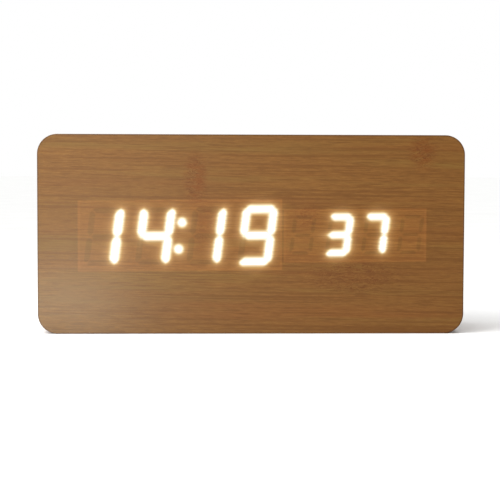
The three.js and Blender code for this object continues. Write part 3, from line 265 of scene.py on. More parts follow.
def hand_over(piece, body, slot, *nodes, smooth=35, materials=()):
    """Smooths a finished piece, gives it its materials and lets it stand for its CAD nodes on their
    body."""
    only(piece)
    bpy.ops.object.shade_smooth_by_angle(angle=math.radians(smooth))
    # Flat faces stay flat to the eye, and only the small roundings shade.
    flat = piece.modifiers.new("flat", "WEIGHTED_NORMAL")
    flat.keep_sharp = True
    bpy.ops.object.modifier_apply(modifier=flat.name)
    for made in materials:
        piece.data.materials.append(made)
    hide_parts(*nodes)
    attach(piece, body)
    return piece


# ---------------------------------------------------------------- camera

# Found from the outline's four edges in the photograph: 0.52 m in front of the clock, a little to
# the left of its middle and above it.
lens = bpy.data.cameras.new("view")
lens.lens = 106.83
lens.sensor_width = 36.0
lens.clip_start, lens.clip_end = 0.01, 20.0
view = bpy.data.objects.new("view", lens)
bpy.context.scene.collection.objects.link(view)
view.location = (-0.0196, -0.540, 0.060)
tilt, roll, pan = (Matrix.Rotation(math.radians(angle), 3, axis)
                   for angle, axis in ((90 - 3.35, "X"), (0.165, "Z"), (-2.087, "Z")))
view.rotation_mode = "QUATERNION"
view.rotation_quaternion = (pan @ tilt @ roll).to_quaternion()
bpy.context.scene.camera = view
bpy.context.scene.view_settings.view_transform = "Standard"


# ---------------------------------------------------------------- floor and studio light

floor = begin("floor", bpy.ops.mesh.primitive_grid_add, x_subdivisions=8, y_subdivisions=8, size=12.0)
# Matt paper roll: its fibres give the eye a trace of mottle and no gloss.
pale, tree, shader, place = finish("pale_matt_paper", Roughness=0.9, Specular_IOR_Level=0.1)
fibres = add(tree, "ShaderNodeTexNoise", {}, {"Vector": place, "Scale": 0.02, "Detail": 3.0})
tone = add(tree, "ShaderNodeValToRGB",
           {"stops": [(0.3, colour("f2f2f1")), (0.7, colour("f6f6f5"))]}, {0: fibres})
lead(tree, shader, Base_Color=tone)
floor.data.materials.append(pale)

world = bpy.data.worlds.new("soft_white_room")
bpy.context.scene.world = world
world.use_nodes = True
room = world.node_tree
walls = room.nodes["Background"]
walls.inputs["Color"].default_value = colour("ffffff")
# The room's walls are white to look at, and light the clock at half of that.
seen = add(room, "ShaderNodeLightPath", {}, {}, "Is Camera Ray")
lead(room, walls, Strength=add(room, "ShaderNodeMapRange", {}, {0: seen, 1: 0.0, 2: 1.0, 3: 0.49, 4: 1.0}))


def lamp(name, kind, place, aim, power, **given):
    """A studio lamp at a place in mm, turned to what it lights."""
    made = bpy.data.objects.new(name, bpy.data.lights.new(name, kind))
    for setting, value in given.items():
        setattr(made.data, setting, value)
    made.data.energy = power
    bpy.context.scene.collection.objects.link(made)
    made.location = [v * MM for v in place]
    made.rotation_mode = "QUATERNION"
    made.rotation_quaternion = (Vector(aim) - Vector(place)).to_track_quat("-Z", "Y")
    made.visible_camera = False
    return made


lamp("overhead_diffuser", "SUN", (-150, -130, 900), (0, 0, 0), 2.0, angle=math.radians(70))
lamp("left_softbox", "AREA", (-250, -200, 255), (-30, -20, 40), 1.67, size=0.32)
# Panels that only the lacquer mirrors: a wide sheen from the left, and a paler gleam low on the left
# from two low cards.
sheen_panels = [
    lamp("left_window", "AREA", (-112, -540, 50), (-67, -20, 55), 0.96, size=0.10),
    lamp("low_card_near", "AREA", (-74, -75, 4.8), (-66, -20, 6), 0.044,
         shape="RECTANGLE", size=0.050, size_y=0.007),
    lamp("low_card_far", "AREA", (-80, -150, 7), (-66, -20, 14), 0.086,
         shape="RECTANGLE", size=0.050, size_y=0.010)]
for panel in sheen_panels:
    panel.visible_diffuse = False
    panel.data.color = colour("f3ffeb")[:3]


# ---------------------------------------------------------------- bamboo

# Wavy-grained patches where a culm's joints were pressed into the veneer: middle x and z, half
# width, half height, depth, redness.
FRONT_JOINTS = [
    (-19.8, 54.0, 5.5, 12.0, 1.0, 1.0),
    (-16.5, 38.0, 5.5, 13.0, 0.6, 0.8),
    (60.0, 64.0, 6.5, 8.5, 0.9, 0.8),
    (36.0, 20.5, 24.0, 9.0, 0.75, 0.1),
    (19.5, 41.5, 6.5, 6.5, 0.6, 0.3)]


def pressed_bamboo(tree, place, joints):
    """Carbonised bamboo: fibres run along X as thin dark threads on an even ground. Gives its colour,
    its height and how its fibres veil a light behind them."""
    waves = blush = None
    for x, z, half_x, half_z, depth, redness in joints:
        spot = add(tree, "ShaderNodeMapping", {},
                   {"Vector": place, "Scale": (1 / half_x, 0, 1 / half_z),
                    "Location": (-x / half_x, 0, -z / half_z)})
        spot = add(tree, "ShaderNodeVectorMath", {"operation": "LENGTH"}, {0: spot}, "Value")
        spot = add(tree, "ShaderNodeMapRange", SOFT_STEP, {0: spot, 1: 1.0, 2: 0.25, 3: 0.0, 4: depth})
        red = add(tree, "ShaderNodeMath", {"operation": "MULTIPLY"}, {0: spot, 1: redness})
        if waves is None:
            waves, blush = spot, red
        else:
            waves = add(tree, "ShaderNodeMath", {"operation": "MAXIMUM"}, {0: waves, 1: spot})
            blush = add(tree, "ShaderNodeMath", {"operation": "MAXIMUM"}, {0: blush, 1: red})
    # The fibres fall by 1 in 60 to the right, wander by 1 mm over 70 mm, and curl by up to 2 mm at
    # the joints.
    leaning = add(tree, "ShaderNodeMapping", {}, {"Vector": place, "Rotation": (0, -0.016, 0)})
    waver = add(tree, "ShaderNodeMapping", {}, {"Vector": place, "Scale": (0.014, 0.03, 0.03)})
    waver = add(tree, "ShaderNodeTexNoise", {}, {"Vector": waver, "Scale": 1.0, "Detail": 1.0}, "Color")
    along = add(tree, "ShaderNodeVectorMath", {"operation": "MULTIPLY_ADD"},
                {0: waver, 1: (0, 1.0, 1.0), 2: leaning})
    if joints:
        curl = add(tree, "ShaderNodeMapping", {}, {"Vector": place, "Scale": (0.30, 0.30, 0.45)})
        curl = add(tree, "ShaderNodeTexNoise", {}, {"Vector": curl, "Scale": 1.0, "Detail": 2.0}, "Color")
        curl = add(tree, "ShaderNodeVectorMath", {"operation": "SUBTRACT"}, {0: curl, 1: (0.5, 0.5, 0.5)})
        curl = add(tree, "ShaderNodeVectorMath", {"operation": "SCALE"}, {0: curl, "Scale": waves})
        along = add(tree, "ShaderNodeVectorMath", {"operation": "MULTIPLY_ADD"},
                    {0: curl, 1: (0, 2.5, 3.5), 2: along})
    # Strips of 5 to 8 mm differ in tone; some lean to olive, some to red.
    strips = add(tree, "ShaderNodeMapping", {}, {"Vector": along, "Scale": (0.010, 0.13, 0.19)})
    strips = add(tree, "ShaderNodeTexNoise", {},
                 {"Vector": strips, "Scale": 1.0, "Detail": 2.0, "Roughness": 0.6}, "Color")
    tone, olive, red = (add(tree, "ShaderNodeSeparateXYZ", {}, {0: strips}, channel)
                        for channel in range(3))
    # Vessel lines: dark threads 0.3 mm thick and 1 to 2 mm apart that show for 20 to 50 mm, and
    # finer ones for 5 to 10 mm. They crowd in some strips and thin out in others.
    threads = []
    for run, rise, dark in ((0.012, 1.4, 0.75), (0.09, 2.3, 0.77)):
        thread = add(tree, "ShaderNodeMapping", {}, {"Vector": along, "Scale": (run, rise, rise)})
        thread = add(tree, "ShaderNodeTexNoise", {},
                     {"Vector": thread, "Scale": 1.0, "Detail": 1.5, "Roughness": 0.5})
        thread = add(tree, "ShaderNodeMath", {"operation": "MULTIPLY_ADD"}, {0: tone, 1: 0.22, 2: thread})
        threads.append(add(tree, "ShaderNodeMapRange", SOFT_STEP,
                           {0: thread, 1: 0.64, 2: dark, 3: 0.0, 4: 0.9}))
    vessels = add(tree, "ShaderNodeMath", {"operation": "MAXIMUM"}, {0: threads[0], 1: threads[1]})
    # Single fibres are 0.02 mm; they are drawn 0.2 to 0.4 mm thick so that they show.
    fibres = add(tree, "ShaderNodeMapping", {}, {"Vector": along, "Scale": (0.28, 2.6, 2.6)})
    fibres = add(tree, "ShaderNodeTexNoise", {},
                 {"Vector": fibres, "Scale": 1.0, "Detail": 4.0, "Roughness": 0.72})
    body = add(tree, "ShaderNodeValToRGB",
               {"stops": [(0.25, colour("643f16")), (0.5, colour("734b1c")), (0.75, colour("815724"))]},
               {0: fibres})
    for drift, start, most, tint in ((olive, 0.52, 0.60, "735623"), (red, 0.54, 0.30, "7a451a")):
        share = add(tree, "ShaderNodeMapRange", {}, {0: drift, 1: start, 2: 0.75, 3: 0.0, 4: most})
        body = add(tree, "ShaderNodeMix", TINT, {0: share, 6: body, 7: colour(tint)}, 2)
    shade = add(tree, "ShaderNodeValToRGB",
                {"stops": [(0.3, colour("f0eeeb")), (0.7, colour("ffffff"))]}, {0: tone})
    body = add(tree, "ShaderNodeMix", STAIN, {0: 1.0, 6: body, 7: shade}, 2)
    share = add(tree, "ShaderNodeMath", {"operation": "MULTIPLY"}, {0: vessels, 1: 0.62})
    body = add(tree, "ShaderNodeMix", TINT, {0: share, 6: body, 7: colour("5e370e")}, 2)
    if joints:
        # The joint's own tissue: squiggling lines 0.3 mm thick and about 1.5 mm apart, in a reddish
        # blush of blotches 5 mm long.
        lines = add(tree, "ShaderNodeMapping", {},
                    {"Vector": place, "Scale": (0.18, 0.3, 0.68), "Location": (3.1, 0, 1.7)})
        lines = add(tree, "ShaderNodeTexNoise", {},
                    {"Vector": lines, "Scale": 1.0, "Detail": 3.0, "Roughness": 0.6, "Distortion": 1.2})
        lines = add(tree, "ShaderNodeMath", {"operation": "PINGPONG"}, {0: lines, 1: 0.07})
        lines = add(tree, "ShaderNodeMapRange", SOFT_STEP, {0: lines, 1: 0.040, 2: 0.0, 3: 0.0, 4: 1.0})
        blotch = add(tree, "ShaderNodeMapping", {}, {"Vector": place, "Scale": (0.20, 0.3, 0.65)})
        blotch = add(tree, "ShaderNodeTexNoise", {},
                     {"Vector": blotch, "Scale": 1.0, "Detail": 2.0, "Distortion": 0.6})
        blotch = add(tree, "ShaderNodeMapRange", SOFT_STEP, {0: blotch, 1: 0.40, 2: 0.62, 3: 0.1, 4: 0.68})
        for pattern, where, tint in ((lines, waves, "5a2c08"), (blotch, blush, "6d3a0b")):
            share = add(tree, "ShaderNodeMath", {"operation": "MULTIPLY"}, {0: pattern, 1: where})
            body = add(tree, "ShaderNodeMix", TINT, {0: share, 6: body, 7: colour(tint)}, 2)
    height = add(tree, "ShaderNodeMath", {"operation": "MULTIPLY_ADD"}, {0: vessels, 1: -0.5, 2: fibres})
    veil = add(tree, "ShaderNodeMapRange", {}, {0: height, 1: 0.0, 2: 0.7, 3: 0.86, 4: 1.07})
    return body, height, veil


def towards_edge(tree, place):
    """How far out a place lies from the middles of the corner arcs, in mm: CORNER on the block's outer
    faces."""
    out = add(tree, "ShaderNodeVectorMath", {"operation": "MULTIPLY_ADD"},
              {0: place, 1: (1, 0, 1), 2: (0, 0, -HEIGHT / 2)})
    out = add(tree, "ShaderNodeVectorMath", {"operation": "ABSOLUTE"}, {0: out})
    out = add(tree, "ShaderNodeVectorMath", {"operation": "SUBTRACT"},
              {0: out, 1: (WIDTH / 2 - CORNER, 0, HEIGHT / 2 - CORNER)})
    out = add(tree, "ShaderNodeVectorMath", {"operation": "MAXIMUM"}, {0: out, 1: (0, 0, 0)})
    return add(tree, "ShaderNodeVectorMath", {"operation": "LENGTH"}, {0: out}, "Value")


def bamboo_finish(name, joints, wrapped=False):
    # Carbonised bamboo under a thin satin lacquer: streaks in a warm brown, and a soft, slightly
    # broken gleam.
    made, tree, shader, place = finish(name, IOR=1.47, Specular_IOR_Level=0.19)
    sheet = place
    if wrapped:
        # The sheet runs round the block, so its fibres follow the outline, and the rear rim shows
        # them side by side.
        along = add(tree, "ShaderNodeVectorMath", {"operation": "DOT_PRODUCT"},
                    {0: place, 1: (1, 0, -1)}, "Value")
        back = add(tree, "ShaderNodeSeparateXYZ", {}, {0: place}, 1)
        sheet = add(tree, "ShaderNodeCombineXYZ", {}, {0: along, 1: back, 2: towards_edge(tree, place)})
    body, height, veil = pressed_bamboo(tree, sheet, joints)
    # The lacquer sinks into the open grain; its dust nibs are 0.1 mm, drawn at 0.4 mm.
    nibs = add(tree, "ShaderNodeTexNoise", {}, {"Vector": place, "Scale": 2.4, "Detail": 2.0})
    gloss = add(tree, "ShaderNodeMapRange", {}, {0: nibs, 1: 0.3, 2: 0.7, 3: 0.38, 4: 0.50})
    height = add(tree, "ShaderNodeMath", {"operation": "MULTIPLY_ADD"}, {0: nibs, 1: 0.35, 2: height})
    bump = add(tree, "ShaderNodeBump", {}, {"Strength": 0.25, "Distance": 0.06 * MM, "Height": height})
    lead(tree, shader, Base_Color=body, Roughness=gloss, Normal=bump)
    return made, tree, shader, place, body, veil


bamboo_block = bamboo_finish("satin_bamboo_block", [], wrapped=True)[0]


# ---------------------------------------------------------------- veneer front and its lit figures

def bar_distances(row, u, v):
    """Signed distance in mm of points (u, v) from each bar of a figure, from the figure's middle."""
    half_upright, half_level = row["upright"] / 2, row["level"] / 2
    a, b = row["half_wide"], row["half_tall"]
    mitre, corner, end, rounding = row["mitre"], row["corner"], row["end"], row["rounding"]
    root = math.sqrt(2)

    def shape(*sides):
        # The sides are set in and grown again, because the wood rounds every corner of the light.
        q = np.sort(np.stack([side + rounding for side in sides]), axis=0)[-2:]
        return np.where(q[0] > 0, np.hypot(q[0], q[1]), q[1]) - rounding

    def upright(U, V):
        return shape(np.abs(U) - half_upright, (np.abs(U) - V - row["neck"]) / root,
                     (V - U - b - mitre) / root, (U + V - b - corner) / root, V - b - end)

    def level(U, W):
        return shape(np.abs(W) - half_level, (np.abs(U) - a - W - mitre) / root,
                     (np.abs(U) - a + W - corner) / root, np.abs(U) - a - end)

    return {
        "a": level(u, v - b), "d": level(u, -v - b),
        "b": upright(u - a, v), "c": upright(u - a, -v),
        "f": upright(-u - a, v), "e": upright(-u - a, -v),
        "g": shape(np.abs(v) - half_level, (np.abs(u) - a + np.abs(v) - row["tongue"]) / root),
    }


def figures_at(x, z):
    """For points on the front, in mm: distance from the light, distance from any bar, and depth
    inside a module's face."""
    lit, bars, inside = np.full(x.shape, FAR), np.full(x.shape, FAR), np.full(x.shape, -FAR)
    for row, (left, right, low, high) in zip((TIME_ROW, SMALL_ROW), MODULES):
        climb = row["skew"] * (x - row["pivot"])
        light = np.zeros(x.shape)
        v = z - row["middle"] - climb
        for place, figure in enumerate(row["shows"]):
            u = x - (row["first"] + place * row["pitch"]) - row["lean"] * v
            for letter, distance in bar_distances(row, u, v).items():
                bars = np.minimum(bars, distance)
                if letter in BARS_OF[figure]:
                    light += np.exp((row["swell"][place] - distance) / row["spread"])
        if row is TIME_ROW:
            for x0, z0 in COLON:
                light += np.exp((COLON_RADIUS - np.hypot(x - x0, z - z0)) / row["spread"])
        # Lights next to each other run together, by the row's spread.
        lit = np.minimum(-row["spread"] * np.log(np.maximum(light, 1e-12)), lit)
        across = np.minimum(x - left, right - x)
        upwards = np.minimum(z - climb - low, high - (z - climb))
        inside = np.maximum(inside, np.minimum(across, upwards))
    return lit, bars, inside


front = block("bamboo_front", (-WIDTH / 2, FRONT, 0), (WIDTH / 2, VENEER_BACK, HEIGHT))
choose(front, "edges", lambda a, b: near(a.x, b.x) and near(a.z, b.z))
bpy.ops.mesh.bevel(offset=CORNER * MM, segments=16, affect="EDGES")
choose(front, "edges", at_y(FRONT))
bpy.ops.mesh.bevel(offset=0.25 * MM, segments=3, affect="EDGES")
# The part of the face that the modules lie behind is cut into cells 0.29 mm wide and high, which
# carry the figures' light.
LEFT, RIGHT, LOW, HIGH = -63.0, 63.4, 20.2, 49.1
for side, axis in ((LEFT, 0), (RIGHT, 0), (LOW, 2), (HIGH, 2)):
    point, normal = [0, 0, 0], [0, 0, 0]
    point[axis], normal[axis] = side * MM, 1
    choose(front, "polygons", lambda m, n: n.y < -0.999)
    bpy.ops.mesh.bisect(plane_co=point, plane_no=normal)


def in_window(*ends):
    """Whether an edge's ends lie in that part of the face."""
    return all(near(p.y, FRONT) and LEFT - 0.01 < p.x < RIGHT + 0.01 and LOW - 0.01 < p.z < HIGH + 0.01
               for p in ends)


# One call makes at most 100 cuts, so the columns take two: 22 strips, then 20 cells in each.
for cuts in (21, 19):
    choose(front, "edges", lambda a, b: in_window(a, b) and near(a.z, b.z, 0.001)
           and (near(a.z, LOW) or near(a.z, HIGH)))
    bpy.ops.mesh.subdivide(number_cuts=cuts)
choose(front, "edges", lambda a, b: in_window(a, b) and near(a.x, b.x, 0.001)
       and near(abs(a.z - b.z), HIGH - LOW))
bpy.ops.mesh.subdivide(number_cuts=99)
bpy.ops.object.mode_set(mode="OBJECT")
points = np.zeros(len(front.data.vertices) * 3)
front.data.vertices.foreach_get("co", points)
points = points.reshape(-1, 3) / MM
distances = np.stack(figures_at(points[:, 0], points[:, 2]), axis=1).astype(np.float32)
carrier = front.data.attributes.new("figures", "FLOAT_VECTOR", "POINT")
carrier.data.foreach_set("vector", distances.ravel())

veneer, tree, shader, place, body, veil = bamboo_finish("satin_bamboo_veneer", FRONT_JOINTS)
carried = add(tree, "ShaderNodeAttribute", {"attribute_name": "figures"}, {}, "Vector")
lit, bars, inside = (add(tree, "ShaderNodeSeparateXYZ", {}, {0: carried}, channel) for channel in range(3))
# The modules' pale faces show through: a little lamp light seeps out all over them, more at their
# rims, and unlit bars stay dark.
field = add(tree, "ShaderNodeMapRange", SOFT_STEP, {0: inside, 1: -0.25, 2: 0.25, 3: 0.0, 4: 1.0})
rim = add(tree, "ShaderNodeMapRange", SOFT_STEP, {0: inside, 1: 0.6, 2: 1.1, 3: 1.0, 4: 0.76})
seep = add(tree, "ShaderNodeMath", {"operation": "MULTIPLY"}, {0: rim, 1: field})
unlit = add(tree, "ShaderNodeMapRange", SOFT_STEP, {0: bars, 1: -0.08, 2: -0.62, 3: 0.0, 4: 1.0})
dimmed = add(tree, "ShaderNodeMapRange", {}, {0: unlit, 1: 0.0, 2: 1.0, 3: 1.0, 4: 0.6})
seep = add(tree, "ShaderNodeMath", {"operation": "MULTIPLY"}, {0: seep, 1: dimmed})
# Over the unlit bars the veneer's own colour is a little darker too: painted shade.
body = add(tree, "ShaderNodeMix", STAIN, {0: unlit, 6: body, 7: colour("f3f6f2")}, 2)
# A line 0.5 mm wide round the front is darker: painted shade on its rounded edge.
edge = add(tree, "ShaderNodeMapRange", SOFT_STEP,
           {0: towards_edge(tree, place), 1: CORNER - 0.7, 2: CORNER - 0.1, 3: 0.0, 4: 1.0})
body = add(tree, "ShaderNodeMix", STAIN, {0: edge, 6: body, 7: colour("cecbcb")}, 2)
# The lit bars are white, cream at their edges, and fade through gold and amber into the wood within
# 7 mm: each distance from a bar's edge, in mm, and the light there.
GLOW = [(-0.55, "ffffff"), (-0.35, "e1ddc8"), (-0.18, "cec8b6"), (0.0, "bcbca7"), (0.20, "a7a082"),
        (0.40, "938b69"), (0.60, "7e704d"), (0.80, "71603f"), (1.0, "655535"), (1.3, "59472d"),
        (1.7, "4b3d26"), (2.2, "3a2f1b"), (3.0, "2b2110"), (4.5, "140d03"), (7.0, "000000")]
GLOW_FROM, GLOW_TO = -0.6, 7.4
stops = [((distance - GLOW_FROM) / (GLOW_TO - GLOW_FROM), colour(code)) for distance, code in GLOW]
reach = add(tree, "ShaderNodeMapRange", {}, {0: lit, 1: GLOW_FROM, 2: GLOW_TO, 3: 0.0, 4: 1.0})
glow = add(tree, "ShaderNodeValToRGB", {"stops": stops}, {0: reach})
seep = add(tree, "ShaderNodeVectorMath", {"operation": "SCALE"}, {0: colour("3e210a")[:3], "Scale": seep})
light = add(tree, "ShaderNodeVectorMath", {"operation": "ADD"}, {0: glow, 1: seep})
# The fibres veil the light where it is faint.
light = add(tree, "ShaderNodeVectorMath", {"operation": "SCALE"}, {0: light, "Scale": veil})
lead(tree, shader, Base_Color=body, Emission_Color=light)
shader.inputs["Emission Strength"].default_value = 1.5
hand_over(front, "clock_body", "bamboo_veneer", "front_veneer", materials=[veneer])

# The sheen panels are flagged off from all but the front.
flagged = bpy.data.collections.new("lacquered_front")
flagged.objects.link(front)
for panel in sheen_panels:
    panel.light_linking.receiver_collection = flagged


# ---------------------------------------------------------------- block

def on_rim(p):
    """Whether a point lies on the block's outer edge at the back."""
    past_x = abs(p.x) - (WIDTH / 2 - CORNER)
    past_z = abs(p.z - HEIGHT / 2) - (HEIGHT / 2 - CORNER)
    out = math.hypot(past_x, past_z) if min(past_x, past_z) > 0 else max(past_x, past_z)
    return near(p.y, DEPTH / 2) and out > CORNER - 0.5


case = recut("bamboo_case", "wood_case")
ease(case, 0.35, lambda a, b: on_rim(a) and on_rim(b), steps=3)
hand_over(case, "clock_body", "wood_block", "wood_case", materials=[bamboo_block])


# ---------------------------------------------------------------- other finishes

def moulded_black(name, rough, grit):
    """Black ABS with a mould's grit of this size in mm."""
    made, tree, shader, place = finish(name, IOR=1.53)
    grain = add(tree, "ShaderNodeTexVoronoi", {"feature": "SMOOTH_F1"},
                {"Vector": place, "Scale": 1 / grit, "Smoothness": 0.6})
    tone = add(tree, "ShaderNodeValToRGB",
               {"stops": [(0.0, colour("1b1b1c")), (1.0, colour("242425"))]}, {0: grain})
    gloss = add(tree, "ShaderNodeMapRange", {},
                {0: grain, 1: 0.0, 2: 1.0, 3: rough - 0.06, 4: rough + 0.06})
    bump = add(tree, "ShaderNodeBump", {}, {"Strength": 0.6, "Distance": 0.09 * MM, "Height": grain})
    lead(tree, shader, Base_Color=tone, Roughness=gloss, Normal=bump)
    return made


# From a spark-eroded mould: a fine even grit that keeps the gleam broad and grey. The grit is
# 0.1 mm, drawn at 0.45 mm so that it shows.
grained_abs = moulded_black("spark_eroded_black_abs", 0.52, 0.45)
# From a polished mould: the same black with a tighter gleam on a low, slightly uneven skin.
smooth_abs = moulded_black("polished_black_abs", 0.30, 0.9)


def drawn_metal(name, tint, rough):
    """Bare metal with faint lines from drawing or turning, which smear the reflections a little."""
    made, tree, shader, place = finish(name, Metallic=1.0)
    drawn = add(tree, "ShaderNodeMapping", {}, {"Vector": place, "Scale": (0.8, 6.0, 6.0)})
    drawn = add(tree, "ShaderNodeTexNoise", {}, {"Vector": drawn, "Scale": 1.0, "Detail": 3.0})
    dark = tuple(c * 0.8 for c in colour(tint)[:3]) + (1.0,)
    tone = add(tree, "ShaderNodeValToRGB", {"stops": [(0.3, dark), (0.7, colour(tint))]}, {0: drawn})
    gloss = add(tree, "ShaderNodeMapRange", {},
                {0: drawn, 1: 0.3, 2: 0.7, 3: rough - 0.05, 4: rough + 0.08})
    lead(tree, shader, Base_Color=tone, Roughness=gloss)
    return made


# Nickel-plated steel: a neutral, fairly bright metal.
nickel = drawn_metal("nickel_plated_steel", "c4c2bd", 0.28)
# Turned brass: a warm yellow metal.
brass = drawn_metal("turned_brass", "c79a4b", 0.25)


def mottled(name, low, high, size, rough, bump=0.0, **constants):
    """A finish whose tone and gloss drift between two values over patches of this size, with bumps
    as high, all in mm."""
    made, tree, shader, place = finish(name, **constants)
    clouds = add(tree, "ShaderNodeTexNoise", {}, {"Vector": place, "Scale": 1 / size, "Detail": 3.0})
    tone = add(tree, "ShaderNodeValToRGB",
               {"stops": [(0.3, colour(low)), (0.7, colour(high))]}, {0: clouds})
    gloss = add(tree, "ShaderNodeMapRange", {},
                {0: clouds, 1: 0.3, 2: 0.7, 3: rough - 0.05, 4: rough + 0.05})
    lead(tree, shader, Base_Color=tone, Roughness=gloss)
    if bump:
        lead(tree, shader, Normal=add(tree, "ShaderNodeBump", {},
                                      {"Strength": 0.3, "Distance": bump * MM, "Height": clouds}))
    return made


# Polycarbonate moulded matt: the modules' shells look dry and pale grey, with no hard gleam.
module_plastic = mottled("matt_grey_polycarbonate", "c7c1b5", "d1ccc0", 0.8, 0.6, 0.02, IOR=1.58)
# Cast epoxy with a white filler: milky, smooth and a little wet to the eye.
module_epoxy = mottled("milky_cast_epoxy", "efe3c8", "f7efdc", 2.0, 0.25, IOR=1.55)
# Transfer-moulded epoxy: chips and sockets are near black, with a fine dry tooth.
dark_resin = mottled("moulded_epoxy_resin", "1d1e1f", "28292a", 0.4, 0.55, 0.02, IOR=1.55)
# Printed PVC film shrunk tight: a smooth coloured skin with a low ripple.
cell_sleeve = mottled("blue_pvc_shrink_sleeve", "2a5c89", "336a9b", 3.0, 0.3, 0.04, IOR=1.53)
pale_sleeve = mottled("silver_pvc_shrink_sleeve", "b9bcc0", "c6c9cc", 3.0, 0.3, 0.04, IOR=1.53)
# Extruded PVC: soft-looking wires with a dull, slightly uneven skin.
red_wire = mottled("red_extruded_pvc", "a81c18", "b92a22", 1.0, 0.4, 0.01, IOR=1.53)
black_wire = mottled("black_extruded_pvc", "1a1a1a", "242424", 1.0, 0.4, 0.01, IOR=1.53)

# Glass-epoxy board under green solder mask: copper tracks 0.3 mm wide show lighter through it,
# between tinned pads 1 mm across.
TRACK_PITCH = 3.2
circuit_board, tree, shader, place = finish("green_solder_mask", IOR=1.55)
layout = {"Vector": place, "Scale": 1 / TRACK_PITCH, "Randomness": 0.55}
tracks = add(tree, "ShaderNodeTexVoronoi", {"feature": "DISTANCE_TO_EDGE"}, layout)
tracks = add(tree, "ShaderNodeMapRange", SOFT_STEP, {0: tracks, 1: 0.055, 2: 0.04, 3: 0.0, 4: 1.0})
pads = add(tree, "ShaderNodeTexVoronoi", {}, layout)
pads = add(tree, "ShaderNodeMapRange", SOFT_STEP, {0: pads, 1: 0.17, 2: 0.14, 3: 0.0, 4: 1.0})
mask = add(tree, "ShaderNodeMix", TINT, {0: tracks, 6: colour("0b3d22"), 7: colour("1a5e36")}, 2)
mask = add(tree, "ShaderNodeMix", TINT, {0: pads, 6: mask, 7: colour("b9b8b0")}, 2)
gloss = add(tree, "ShaderNodeMapRange", {}, {0: tracks, 1: 0.0, 2: 1.0, 3: 0.38, 4: 0.28})
bump = add(tree, "ShaderNodeBump", {}, {"Strength": 0.4, "Distance": 0.04 * MM, "Height": tracks})
lead(tree, shader, Base_Color=mask, Roughness=gloss, Normal=bump)

# Flat ribbon of PVC wires side by side along X: rounded ribs and painted shade in the seams between them.
WIRE_PITCH = 1.27
ribbon_wire, tree, shader, place = finish("grey_pvc_ribbon", IOR=1.53)
ribs = add(tree, "ShaderNodeSeparateXYZ", {}, {0: place}, "X")
ribs = add(tree, "ShaderNodeMath", {"operation": "PINGPONG"}, {0: ribs, 1: WIRE_PITCH / 2})
ribs = add(tree, "ShaderNodeMapRange", SOFT_STEP, {0: ribs, 1: 0.0, 2: 0.35, 3: 0.0, 4: 1.0})
# The darker tone in the seams is painted shade.
tone = add(tree, "ShaderNodeValToRGB",
           {"stops": [(0.0, colour("7d7f83")), (0.6, colour("a9abaf"))]}, {0: ribs})
gloss = add(tree, "ShaderNodeMapRange", {}, {0: ribs, 1: 0.0, 2: 1.0, 3: 0.55, 4: 0.40})
bump = add(tree, "ShaderNodeBump", {}, {"Strength": 0.6, "Distance": 0.2 * MM, "Height": ribs})
lead(tree, shader, Base_Color=tone, Roughness=gloss, Normal=bump)


# ---------------------------------------------------------------- back: cover, door, buttons, inlet

def mark_cutter(kind, radius, x, z, face):
    """A cutter for a shallow mark in a face: a ring, or a triangle that points up or down."""
    cylinder = bpy.ops.mesh.primitive_cylinder_add
    placed = dict(location=(x * MM, (face - MARK_DEPTH + CUTTER_TALL / 2) * MM, z * MM),
                  rotation=(-math.pi / 2, 0, 0) if kind == "down" else ALONG_Y)
    mark = begin("mark", cylinder, vertices=40 if kind == "ring" else 3, radius=radius * MM,
                 depth=CUTTER_TALL * MM, **placed)
    if kind == "ring":
        cut(mark, begin("core", cylinder, vertices=40, radius=(radius - 0.5) * MM,
                        depth=2 * CUTTER_TALL * MM, **placed))
    return mark


cover = recut("moulded_cover", "rear_cover")
ease(cover, 0.2, at_y(COVER_FACE))
hand_over(cover, "clock_body", "cover_plastic", "rear_cover", materials=[grained_abs])

# The door's face and the crests of its grip are eased, and a small moulded arrowhead under the grip
# shows which way the latch is pressed.
low, high = (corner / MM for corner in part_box("battery_door"))
door = recut("battery_lid", "battery_door")
for crest in (COVER_FACE, high.y):
    ease(door, 0.15, at_y(crest))
cut(door, mark_cutter("down", 2.6, (low.x + high.x) / 2, high.z - 16, COVER_FACE))
hand_over(door, "battery_door", "cover_plastic", "battery_door", materials=[grained_abs])

for name, mark, radius in (("set", "ring", 1.45), ("up", "up", 1.5), ("down", "down", 1.5)):
    low, high = (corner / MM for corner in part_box(f"{name}_button"))
    cap = recut(f"{name}_cap", f"{name}_button")
    cut(cap, mark_cutter(mark, radius, (low.x + high.x) / 2, (low.z + high.z) / 2, high.y))
    ease(cap, 0.08, at_y(high.y))
    hand_over(cap, f"{name}_button", "button_plastic", f"{name}_button", materials=[smooth_abs])

low, high = (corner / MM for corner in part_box("power_inlet"))
inlet = recut("inlet_socket", "power_inlet")
ease(inlet, 0.15, at_y(high.y))
hand_over(inlet, "clock_body", "button_plastic", "power_inlet", materials=[smooth_abs])

low, high = (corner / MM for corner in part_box("power_inlet_pin"))
pin = begin("inlet_centre_pin", bpy.ops.mesh.primitive_cylinder_add, vertices=32, radius=0.65 * MM,
            depth=(high.y - low.y) * MM, location=(low + high) / 2 * MM, rotation=ALONG_Y)
ease(pin, 0.35, at_y(high.y), steps=4)
hand_over(pin, "clock_body", "brass", "power_inlet_pin", materials=[brass])


# ---------------------------------------------------------------- screws

